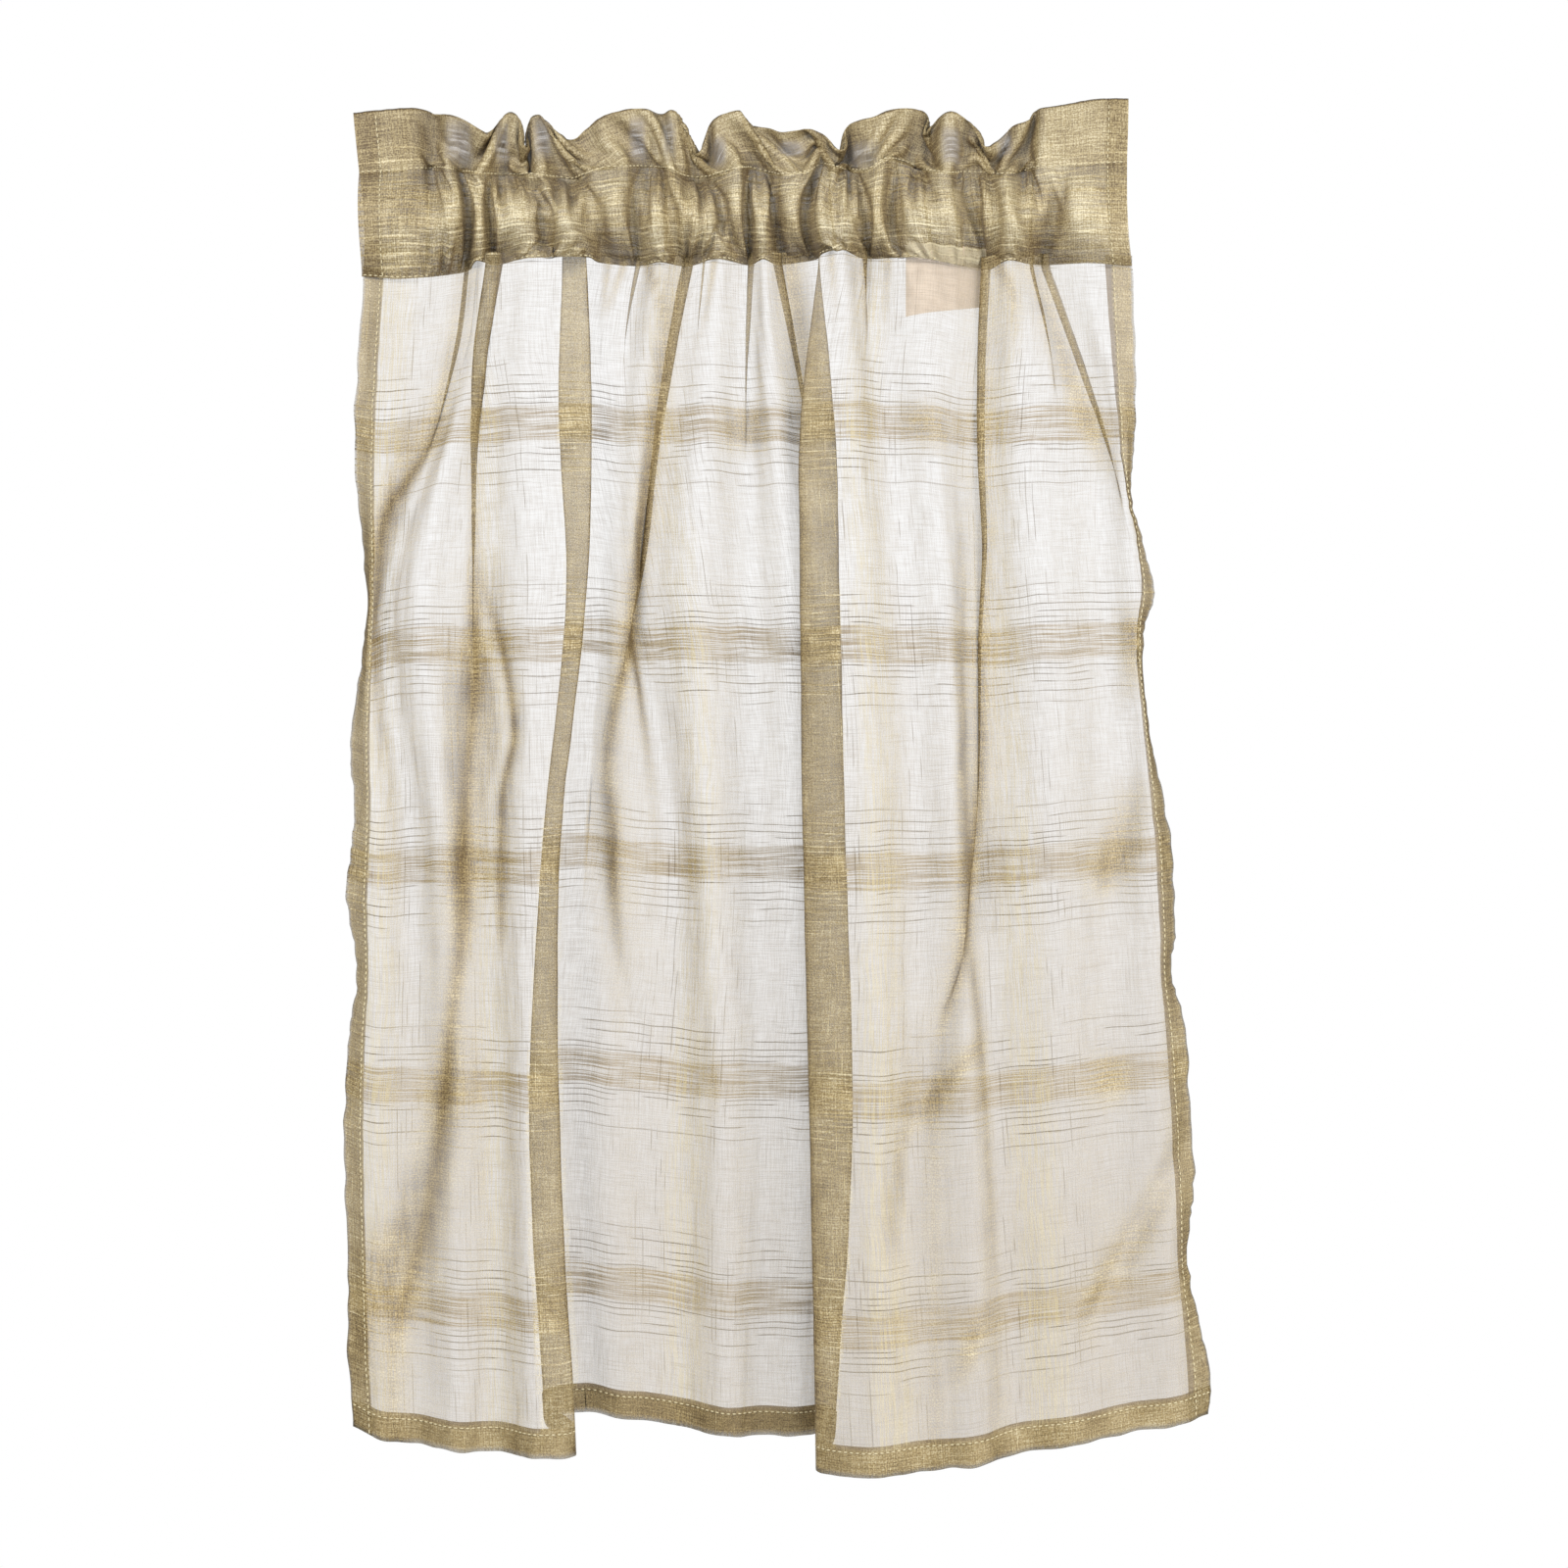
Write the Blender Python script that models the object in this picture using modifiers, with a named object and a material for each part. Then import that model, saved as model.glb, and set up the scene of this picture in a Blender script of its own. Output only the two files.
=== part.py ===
"""A gathered sheer half curtain with a ruffled top and an empty rod pocket.

One width of windowpane cloth hangs in three stretches: the middle one lies behind the two
outer ones, with a deep S-shaped fold at each join. The top is turned over and stitched
twice, which leaves a ruffle above a hollow pocket. A blank tag hangs behind the sheer.

Heights run down from the top edge, x runs to the right, and the front faces -Y.
The tables are in millimetres, and the meshes in metres.
"""
import bmesh
import bpy
import numpy as np

MM = 0.001

# The cloth as it was sewn, laid flat
FLAT_WIDTH = 750.0
SIDE_HEM = 15.0
RUFFLE_HEIGHT = 40.0

# Where the slack of a ruffle goes as it flops to the front or dips to the back
FLOP_LEAN = 12.0
FLOP_ARCH = (0.0, -0.1, 0.7)
DIP_SAG = (0.0, 0.3, -0.1)

# Thickness of the modelled cloth: one ply, a turned hem, and the doubled heading
PLY = 1.2
HEM_PLY = 1.9
HEADING_PLY = 1.3
LABEL_PLY = 1.0

# The rod pocket: half the distance between its walls at mid height, how much the puckers calm
# down there, how late the seam's folds set in, and the heights of its mesh rows as shares
POCKET_HALF_DEPTH = 16.0
POCKET_CALM = 0.72
POCKET_FOLD_ONSET = 2.5

# The clearance between separate pieces: below the seam, and from the cloth to the tag
SEAM_GAP = 0.8
LABEL_CLEARANCE = 2.1

# Mesh steps across and down the cloth, and between the fold lines where lengths are measured
COLUMNS = 84
DROP_ROWS = 28
RUFFLE_ROWS = 3
POCKET_STEPS = (0.0, 0.18, 0.4, 0.62, 0.82, 0.94, 1.0)
CURVE_STEPS = 16

# How far down the drop each column of the fold table is read, from the seam (0) to the hem (1)
LEVELS = (0.0, 0.126, 0.277, 0.486, 0.739, 1.0)

# One row for each fold line of the drop, from the left edge to the right edge:
# name, x at the six levels, depth at the six levels, height of the seam, height of the hem
FOLDS = (
    ("left edge", (-253, -257, -255, -259, -263, -257), (-2, 0, 5, -3, -8, -10), -112, -877),
    ("left swell", (-222, -235, -248, -241, -242, -237), (-11, -10, -4, -12, -18, -18), -115, -884),
    ("left valley", (-186, -203, -236, -219, -214, -214), (10, 8, 9, -2, -10, -12), -107, -888),
    ("second swell", (-176, -189, -212, -196, -188, -187), (-10, -10, -12, -20, -24, -25), -103, -890),
    ("second valley", (-164, -175, -176, -172, -162, -160), (11, 10, 2, -8, -13, -16), -102, -892),
    ("front swell", (-140, -143, -139, -141, -140, -134), (-15, -18, -20, -26, -30, -31), -102, -893),
    ("left front turn", (-104, -100, -103, -119, -119, -108), (-13, -15, -16, -20, -22, -22), -101, -893),
    ("left return", (-111, -112, -110, -126, -131, -120), (-4, -6, -7, -10, -9, -9), -100, -886),
    ("left back turn", (-119, -122, -116, -130, -141, -131), (4, 2, 0, -1, 2, 3), -100, -876),
    ("middle left", (-94, -98, -95, -102, -114, -104), (8, 9, 8, 9, 12, 12), -101, -873),
    ("short valley", (-70, -80, -82, -80, -88, -82), (10, 7, 4, 4, 8, 9), -103, -877),
    ("narrow swell", (-53, -66, -74, -64, -66, -62), (-10, -4, 3, 8, 14, 15), -104, -880),
    ("long valley", (-36, -52, -68, -46, -40, -38), (11, 13, 17, 16, 17, 18), -103, -885),
    ("middle swell", (-16, -22, -30, -22, -12, -10), (-11, -9, -6, -1, 3, 4), -102, -888),
    ("pocket valley", (5, 4, 6, 8, 14, 14), (11, 12, 13, 14, 14, 14), -102, -889),
    ("pocket swell", (15, 22, 32, 34, 38, 36), (-10, -6, 0, 8, 10, 10), -102, -889),
    ("hidden valley", (26, 42, 52, 56, 60, 54), (9, 15, 18, 20, 20, 20), -102, -890),
    ("right back turn", (50, 62, 66, 70, 75, 62), (7, 8, 9, 11, 11, 10), -99, -892),
    ("right return", (52, 51, 53, 56, 60, 57), (0, -3, -5, -6, -6, -7), -98, -897),
    ("right front turn", (54, 41, 40, 42, 47, 51), (-9, -13, -17, -21, -23, -24), -98, -903),
    ("right swell", (68, 72, 76, 82, 88, 86), (-16, -20, -26, -33, -37, -37), -97, -904),
    ("right hollow", (84, 96, 108, 116, 120, 120), (10, 2, -8, -17, -25, -27), -98, -902),
    ("label swell", (118, 126, 136, 142, 152, 156), (-11, -12, -16, -26, -33, -34), -101, -897),
    ("ridge valley", (162, 158, 159, 160, 172, 184), (10, 9, 6, -5, -17, -20), -105, -892),
    ("far swell", (178, 188, 200, 206, 208, 220), (-11, -12, -14, -20, -25, -25), -103, -886),
    ("diagonal valley", (200, 233, 240, 244, 248, 258), (11, 9, 2, -4, -12, -14), -102, -880),
    ("edge swell", (228, 249, 258, 266, 272, 284), (-10, -6, -8, -10, -15, -15), -104, -875),
    ("right edge", (261, 264, 271, 282, 299, 312), (-2, 3, 3, 1, 0, -2), -105, -871),
)

# Rows of FOLDS between which each stretch of cloth faces the room
LEFT_STRETCH = (0, 6)
MIDDLE_STRETCH = (9, 17)
RIGHT_STRETCH = (19, 27)

# Rows of FOLDS that are tucked in behind the seam, where the cloth doubles back
TUCKED_ROWS = (7, 8, 18)

# Soft diagonal creases: stretch, route as (x, height) from top to bottom, depth, half width
CREASES = (
    (LEFT_STRETCH, ((-154, -340), (-150, -400), (-170, -480), (-207, -700), (-237, -776)), 8, 13),
    (MIDDLE_STRETCH, ((-96, -480), (-88, -550), (-77, -605)), 6, 9),
    (RIGHT_STRETCH, ((262, -430), (258, -470), (250, -510)), 6, 10),
    (RIGHT_STRETCH, ((297, -686), (262, -750), (236, -800)), 7, 11),
    (RIGHT_STRETCH, ((160, -500), (140, -585), (118, -670), (106, -740)), 7, 12),
)
CREASE_FADE = 40.0

# How the two side hems stray from their fold lines, as (height, shift), and how far that reaches
LEFT_STRAY = (
    (-125, 1), (-185, -1), (-260, 0), (-300, 3), (-335, 5), (-370, 1), (-420, -4), (-470, 1),
    (-520, -3), (-580, 6), (-615, 2), (-680, -1), (-750, 0), (-840, -2), (-877, 0),
)
RIGHT_STRAY = (
    (-105, 0), (-165, 1), (-215, -1), (-255, -6), (-290, 0), (-325, 5), (-345, -2), (-415, -4),
    (-455, 1), (-500, 5), (-550, 2), (-580, -3), (-600, 1), (-660, 2), (-720, 0), (-765, -7),
    (-800, -4), (-845, 3), (-871, 0),
)
STRAY_REACH = 30.0

# One row for each pucker of the heading, from the left end to the right end:
# name, x of the top edge, its rise over the upper stitch, its lean, then x, depth and height
# of the upper stitch. A lean to the front is negative.
PUCKERS = (
    ("left end", -259, 41, 0, -255, 0, -42),
    ("left flat", -236, 41, -5, -238, -8, -41),
    ("flat hollow", -219, 40, 3, -222, 6, -40),
    ("first crest", -205, 38, -5, -207, -9, -39),
    ("second crest", -190, 37, 4, -192, 7, -39),
    ("first flop", -172, 14, -13, -177, -8, -42),
    ("slot shoulder", -158, 37, -3, -163, 8, -42),
    ("first flag", -150, 39, 2, -154, 9, -42),
    ("slot", -144, 16, 18, -148, 1, -43),
    ("second flag", -139, 40, -3, -141, -9, -44),
    ("flag slope", -130, 37, 0, -133, -8, -44),
    ("slope", -122, 31, 6, -124, 7, -44),
    ("first dip", -111, 25, 16, -111, -6, -46),
    ("rising", -96, 34, 4, -98, 8, -42),
    ("wide crest", -80, 38, -6, -82, -9, -38),
    ("crest crease", -62, 38, 3, -64, 7, -38),
    ("sharp crest", -46, 40, -4, -48, -9, -40),
    ("deep dip", -29, 14, 19, -33, 9, -44),
    ("rounded crest", -16, 39, -2, -18, -8, -40),
    ("crest end", 1, 39, -6, -3, -10, -39),
    ("middle fold", 14, 29, 9, 9, 8, -41),
    ("low ledge", 30, 26, -16, 25, -8, -43),
    ("ledge end", 50, 26, -13, 46, 8, -38),
    ("narrow dip", 66, 13, 19, 62, -8, -39),
    ("steep rise", 77, 33, 4, 74, 9, -41),
    ("full crest", 94, 35, -6, 89, -10, -36),
    ("crest slope", 112, 36, -3, 104, -7, -34),
    ("second slot", 125, 20, 17, 118, 9, -38),
    ("cone", 140, 42, -6, 138, -11, -42),
    ("second flop", 163, 11, -19, 158, 6, -43),
    ("low rise", 182, 33, 4, 178, -9, -42),
    ("end crest", 203, 40, -4, 196, 8, -38),
    ("end hollow", 220, 44, 3, 216, -9, -36),
    ("end flat", 238, 44, -3, 237, 5, -35),
    ("right end", 259, 43, 0, 258, -1, -35),
)

# The tag: where its sides lie, and the heights of its lower corners
LABEL_LEFT_X = 110.0
LABEL_RIGHT_X = 164.0
LABEL_LOW_LEFT = -139.0
LABEL_LOW_RIGHT = -132.0
LABEL_ROWS = 4


def smooth(knots, values, at):
    """Read the smooth cubic curve through the values at the knots."""
    knots = np.asarray(knots, dtype=float)
    values = np.asarray(values, dtype=float)
    at = np.asarray(at, dtype=float)
    slopes = np.gradient(values, knots, axis=0)
    low = np.clip(np.searchsorted(knots, at, side="right") - 1, 0, len(knots) - 2)
    span = knots[low + 1] - knots[low]
    step = (at - knots[low]) / span
    if values.ndim > 1:
        span = span[..., None]
        step = step[..., None]
    square = step * step
    cube = square * step
    return (
        (2 * cube - 3 * square + 1) * values[low]
        + (cube - 2 * square + step) * span * slopes[low]
        + (3 * square - 2 * cube) * values[low + 1]
        + (cube - square) * span * slopes[low + 1]
    )


def even_rows(points, columns):
    """Row numbers of evenly spaced places along the smooth line through the points."""
    count = len(points)
    rows = np.linspace(0, count - 1, (count - 1) * CURVE_STEPS + 1)
    line = smooth(np.arange(count), points, rows)[:, :2]
    length = np.concatenate(([0.0], np.cumsum(np.linalg.norm(np.diff(line, axis=0), axis=1))))
    return np.interp(np.linspace(0, length[-1], columns + 1), length, rows)


def fold_points(share):
    """The points of all fold lines at a share of the drop."""
    x = [smooth(LEVELS, row[1], share) for row in FOLDS]
    depth = [smooth(LEVELS, row[2], share) for row in FOLDS]
    height = [row[3] + (row[4] - row[3]) * share for row in FOLDS]
    return np.column_stack((x, depth, height))


def crease_depth(point, row):
    """How far the diagonal creases push the cloth back at a point."""
    total = 0.0
    for stretch, route, depth, half_width in CREASES:
        if not stretch[0] <= row <= stretch[1]:
            continue
        heights = [place[1] for place in route][::-1]
        across = np.interp(point[2], heights, [place[0] for place in route][::-1])
        ends = min(point[2] - heights[0], heights[-1] - point[2]) + CREASE_FADE
        fade = np.clip(ends / CREASE_FADE, 0.0, 1.0)
        total += depth * fade * np.exp(-((point[0] - across) / half_width) ** 2)
    return total


def edge_stray(point, distance_left, distance_right):
    """How far a point near a side hem strays sideways with it."""
    total = 0.0
    for table, distance in ((LEFT_STRAY, distance_left), (RIGHT_STRAY, distance_right)):
        heights = [place[0] for place in table][::-1]
        shift = smooth(heights, [place[1] for place in table][::-1], point[2])
        total += shift * np.clip(1.0 - distance / STRAY_REACH, 0.0, 1.0) ** 2
    return total


def drop_line(share):
    """One level line of the drop, from the left edge to the right edge."""
    points = fold_points(share)
    rows = even_rows(points, COLUMNS)
    line = smooth(np.arange(len(points)), points, rows)
    for column, (point, row) in enumerate(zip(line, rows)):
        from_left = column / COLUMNS * FLAT_WIDTH
        point[1] += crease_depth(point, row)
        point[0] += edge_stray(point, from_left, FLAT_WIDTH - from_left)
    return line


def seam_line():
    """The lower stitch of the heading. The two S-shaped folds start below it."""
    points = np.array([point for row, point in enumerate(fold_points(0.0)) if row not in TUCKED_ROWS])
    return smooth(np.arange(len(points)), points, even_rows(points, COLUMNS))


def drop_surface():
    """The middle surface of the drop, one line for each mesh row."""
    return np.array([drop_line(row / DROP_ROWS) for row in range(DROP_ROWS + 1)])


def ruffle_middle(edge, stitch):
    """The middle of one pucker: a flop arches over its edge, and a dip sags to the back."""
    half_chord = np.linalg.norm(edge - stitch) / 2
    buckle = np.sqrt(max((RUFFLE_HEIGHT / 2) ** 2 - half_chord ** 2, 0.0))
    flops = edge[1] - stitch[1] < -FLOP_LEAN
    way = FLOP_ARCH if flops else DIP_SAG
    return (edge + stitch) / 2 + buckle * np.array(way)


def ruffle_surface():
    """The middle surface of the ruffle, from its top edge down to the upper stitch."""
    stitch = np.array([(x, depth, height) for _, _, _, _, x, depth, height in PUCKERS], dtype=float)
    edge = np.array([(x, row[5] + lean, row[6] + rise)
                     for row in PUCKERS for x, rise, lean in [row[1:4]]], dtype=float)
    middle = np.array([ruffle_middle(*pair) for pair in zip(edge, stitch)])
    rows = even_rows(stitch, COLUMNS)
    numbers = np.arange(len(PUCKERS))
    top, centre, foot = (smooth(numbers, line, rows) for line in (edge, middle, stitch))
    lines = []
    for step in np.linspace(0.0, 1.0, RUFFLE_ROWS + 1):
        lines.append((1 - step) * (1 - 2 * step) * top + 4 * step * (1 - step) * centre
                     + step * (2 * step - 1) * foot)
    return np.array(lines)


def pocket_surface(upper, lower):
    """The middle surface of the pocket, below the upper stitch and down to the seam."""
    lines = []
    for step in POCKET_STEPS[1:]:
        line = upper + (lower - upper) * step
        line[:, 0] = upper[:, 0] + (lower[:, 0] - upper[:, 0]) * step ** POCKET_FOLD_ONSET
        line[:, 1] *= 1 - POCKET_CALM * np.sin(np.pi * step)
        lines.append(line)
    return np.array(lines)


def surface_normals(surface):
    """Unit normals of a surface grid, towards the back."""
    down = np.gradient(surface, axis=0)
    across = np.gradient(surface, axis=1)
    normals = np.cross(across, down)
    return normals / np.linalg.norm(normals, axis=2, keepdims=True)


def heading_surfaces(seam):
    """The ruffle, and the front and back walls of the pocket, which meet at both stitch lines."""
    ruffle = ruffle_surface()
    middle = np.concatenate((ruffle[-1:], pocket_surface(ruffle[-1], seam)))
    swell = np.zeros_like(middle)
    swell[:, :, 1] = POCKET_HALF_DEPTH * (np.sin(np.pi * np.array(POCKET_STEPS)).clip(0.0) ** 0.75)[:, None]
    return ruffle, middle - swell, middle + swell


def label_surface(drop):
    """The tag, hung close behind the cloth on the same mesh columns."""
    normals = surface_normals(drop)
    top = drop[0]
    shown = [i for i, point in enumerate(top) if LABEL_LEFT_X <= point[0] <= LABEL_RIGHT_X]
    lines = []
    for step in np.linspace(0.0, 1.0, LABEL_ROWS + 1):
        line = []
        for i in shown:
            side = (i - shown[0]) / (shown[-1] - shown[0])
            low = LABEL_LOW_LEFT + (LABEL_LOW_RIGHT - LABEL_LOW_LEFT) * side
            height = top[i][2] + (low - top[i][2]) * step
            share = (height - top[i][2]) / (drop[1][i][2] - top[i][2])
            point = drop[0][i] + (drop[1][i] - drop[0][i]) * share
            away = normals[0][i] + (normals[1][i] - normals[0][i]) * share
            line.append(point + away * LABEL_CLEARANCE)
        lines.append(line)
    return np.array(lines)


def cloth_material(name, colour, roughness):
    """A plain woven cloth."""
    material = bpy.data.materials.new(name)
    material.use_nodes = True
    shader = material.node_tree.nodes["Principled BSDF"]
    shader.inputs["Base Color"].default_value = (*colour, 1.0)
    shader.inputs["Roughness"].default_value = roughness
    shader.inputs["Metallic"].default_value = 0.0
    material.diffuse_color = (*colour, 1.0)
    return material


def cloth_object(name, surfaces, thickness, material, collection):
    """Grids shaped to the surfaces and welded where they meet, with their thickness by Solidify."""
    shape = bmesh.new()
    for surface in surfaces:
        rows, columns = surface.shape[0] - 1, surface.shape[1] - 1
        grid = bmesh.ops.create_grid(shape, x_segments=columns, y_segments=rows, size=0.5)
        for vertex in grid["verts"]:
            column = round((vertex.co.x + 0.5) * columns)
            row = round((0.5 - vertex.co.y) * rows)
            vertex.co = [value * MM for value in surface[row][column]]
    bmesh.ops.remove_doubles(shape, verts=shape.verts, dist=0.01 * MM)
    mesh = bpy.data.meshes.new(name)
    shape.to_mesh(mesh)
    shape.free()
    mesh.shade_smooth()
    mesh.materials.append(material)
    cloth = bpy.data.objects.new(name, mesh)
    collection.objects.link(cloth)
    shell = cloth.modifiers.new("ply", "SOLIDIFY")
    shell.thickness = thickness * MM
    shell.offset = 0.0
    if len(surfaces) > 1:
        shell.solidify_mode = "NON_MANIFOLD"
        shell.nonmanifold_thickness_mode = "FIXED"
    return cloth


def thicken_hems(panel):
    """Let the turned hems stand thicker than the single ply between them."""
    columns_in_hem = round(SIDE_HEM / FLAT_WIDTH * COLUMNS)
    hems = panel.vertex_groups.new(name="hems")
    across = COLUMNS + 1
    for vertex in panel.data.vertices:
        column = vertex.index % across
        row = vertex.index // across
        at_side = min(column, COLUMNS - column) < columns_in_hem
        if at_side or row == DROP_ROWS:
            hems.add([vertex.index], 1.0, "REPLACE")
    shell = panel.modifiers["ply"]
    shell.thickness = HEM_PLY * MM
    shell.vertex_group = hems.name
    shell.thickness_vertex_group = PLY / HEM_PLY


def build():
    """Make the three pieces of the curtain in a collection of their own."""
    for old in list(bpy.data.objects):
        bpy.data.objects.remove(old)
    collection = bpy.data.collections.new("gathered_half_curtain")
    bpy.context.scene.collection.children.link(collection)
    sheer = cloth_material("sheer windowpane cloth", (0.62, 0.56, 0.48), 0.85)
    doubled = cloth_material("doubled windowpane cloth", (0.40, 0.31, 0.19), 0.85)
    tag = cloth_material("plain tag tape", (0.66, 0.57, 0.46), 0.7)

    drop = drop_surface()
    seam = seam_line()
    drop[0][:, 2] -= SEAM_GAP
    panel = cloth_object("panel", [drop], PLY, sheer, collection)
    thicken_hems(panel)
    cloth_object("heading", heading_surfaces(seam), HEADING_PLY, doubled, collection)
    cloth_object("label", [label_surface(drop)], LABEL_PLY, tag, collection)


build()
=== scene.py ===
"""The looks of a gathered sheer half curtain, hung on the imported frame.

One width of windowpane cloth is draped over the folds of the panel, and its top is turned over
and gathered on two stitch lines over the heading. A blank tag hangs behind the sheer.

The tables are in millimetres in the frame's axes: x runs to the right, y to the back, and
heights down from the top edge. The cloth's own coordinates, across and down from the lower
stitch, are kept in a UV map called flat, in metres, so that the weave follows every fold.
"""
import functools
import math

import bmesh
import bpy
import numpy as np
from mathutils import Matrix, Vector, noise


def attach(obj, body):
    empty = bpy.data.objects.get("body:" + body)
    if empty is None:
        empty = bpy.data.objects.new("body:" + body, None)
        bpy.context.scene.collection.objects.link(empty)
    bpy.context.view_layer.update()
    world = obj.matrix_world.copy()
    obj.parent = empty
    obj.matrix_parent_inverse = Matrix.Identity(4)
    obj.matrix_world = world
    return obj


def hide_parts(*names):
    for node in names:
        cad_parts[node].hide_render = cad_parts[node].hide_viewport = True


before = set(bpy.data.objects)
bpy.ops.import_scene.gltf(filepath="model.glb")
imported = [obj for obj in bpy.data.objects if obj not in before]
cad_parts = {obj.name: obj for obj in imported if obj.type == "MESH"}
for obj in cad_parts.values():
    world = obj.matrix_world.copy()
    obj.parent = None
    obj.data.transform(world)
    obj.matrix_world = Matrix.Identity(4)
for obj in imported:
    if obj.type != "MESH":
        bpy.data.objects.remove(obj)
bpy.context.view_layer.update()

bl_info = {
    "name": "Gathered Half Curtain",
    "version": (1, 0, 0),
    "blender": (4, 5, 0),
    "location": "3D View > Sidebar > Curtain",
    "description": "Hangs a sheer windowpane half curtain with a ruffled rod pocket",
    "category": "Add Mesh",
}

MM = 0.001
BODY = "root"

# Mesh steps: across the cloth, down the drop, and up each wall of the heading
COLUMNS = 400
DROP_ROWS = 200
POCKET_ROWS = 34
RUFFLE_ROWS = 22
CURVE_STEPS = 80

# How far down the drop each column of the fold table is read, from the seam (0) to the hem (1)
LEVELS = (0.0, 0.126, 0.277, 0.486, 0.739, 1.0)

# One row for each fold line of the drop, from the left edge to the right edge:
# name, x at the six levels, depth at the six levels, height of the seam, height of the hem
FOLDS = (
    ("left edge", (-253, -257, -255, -259, -263, -257), (-2, 0, 5, -3, -8, -10), -112, -877),
    ("left swell", (-222, -235, -248, -241, -242, -237), (-11, -10, -4, -12, -18, -18), -115, -884),
    ("left valley", (-186, -203, -236, -219, -214, -214), (10, 8, 9, -2, -10, -12), -107, -888),
    ("second swell", (-176, -189, -212, -196, -188, -187),
     (-10, -10, -12, -20, -24, -25), -103, -890),
    ("second valley", (-164, -175, -176, -172, -162, -160), (11, 10, 2, -8, -13, -16), -102, -892),
    ("front swell", (-140, -143, -139, -141, -140, -134),
     (-15, -18, -20, -26, -30, -31), -102, -893),
    ("left front turn", (-104, -100, -103, -119, -119, -108),
     (-13, -15, -16, -20, -22, -22), -101, -893),
    ("left return", (-111, -112, -110, -126, -131, -120), (-4, -6, -7, -10, -9, -9), -100, -886),
    ("left back turn", (-119, -122, -116, -130, -141, -131), (4, 2, 0, -1, 2, 3), -100, -876),
    ("middle left", (-94, -98, -95, -102, -114, -104), (8, 9, 8, 9, 12, 12), -101, -873),
    ("short valley", (-70, -80, -82, -80, -88, -82), (10, 7, 4, 4, 8, 9), -103, -877),
    ("narrow swell", (-53, -66, -74, -64, -66, -62), (-10, -4, 3, 8, 14, 15), -104, -880),
    ("long valley", (-36, -52, -68, -46, -40, -38), (11, 13, 17, 16, 17, 18), -103, -885),
    ("middle swell", (-16, -22, -30, -22, -12, -10), (-11, -9, -6, -1, 3, 4), -102, -888),
    ("pocket valley", (5, 4, 6, 8, 14, 14), (11, 12, 13, 14, 14, 14), -102, -889),
    ("pocket swell", (15, 22, 32, 34, 38, 36), (-10, -6, 0, 8, 10, 10), -102, -889),
    ("hidden valley", (26, 42, 52, 56, 60, 54), (9, 15, 18, 20, 20, 20), -102, -890),
    ("right back turn", (50, 62, 66, 70, 75, 62), (7, 8, 9, 11, 11, 10), -99, -892),
    ("right return", (52, 51, 53, 56, 60, 57), (0, -3, -5, -6, -6, -7), -98, -897),
    ("right front turn", (54, 41, 40, 42, 47, 51), (-9, -13, -17, -21, -23, -24), -98, -903),
    ("right swell", (68, 72, 76, 82, 88, 86), (-16, -20, -26, -33, -37, -37), -97, -904),
    ("right hollow", (84, 96, 108, 116, 120, 120), (10, 2, -8, -17, -25, -27), -98, -902),
    ("label swell", (118, 126, 136, 142, 152, 156), (-11, -12, -16, -26, -33, -34), -101, -897),
    ("ridge valley", (162, 158, 159, 160, 172, 184), (10, 9, 6, -5, -17, -20), -105, -892),
    ("far swell", (178, 188, 200, 206, 208, 220), (-11, -12, -14, -20, -25, -25), -103, -886),
    ("diagonal valley", (200, 233, 240, 244, 248, 258), (11, 9, 2, -4, -12, -14), -102, -880),
    ("edge swell", (232, 252, 261, 272, 278, 290), (-7, -6, -7, -11, -16, -16), -104, -875),
    ("right edge", (261, 264, 271, 282, 299, 312), (-2, 3, 3, 1, 0, -2), -105, -871),
)

# Rows of FOLDS between which each stretch of cloth faces the room
LEFT_STRETCH = (0, 6)
MIDDLE_STRETCH = (9, 17)
RIGHT_STRETCH = (19, 27)

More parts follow.
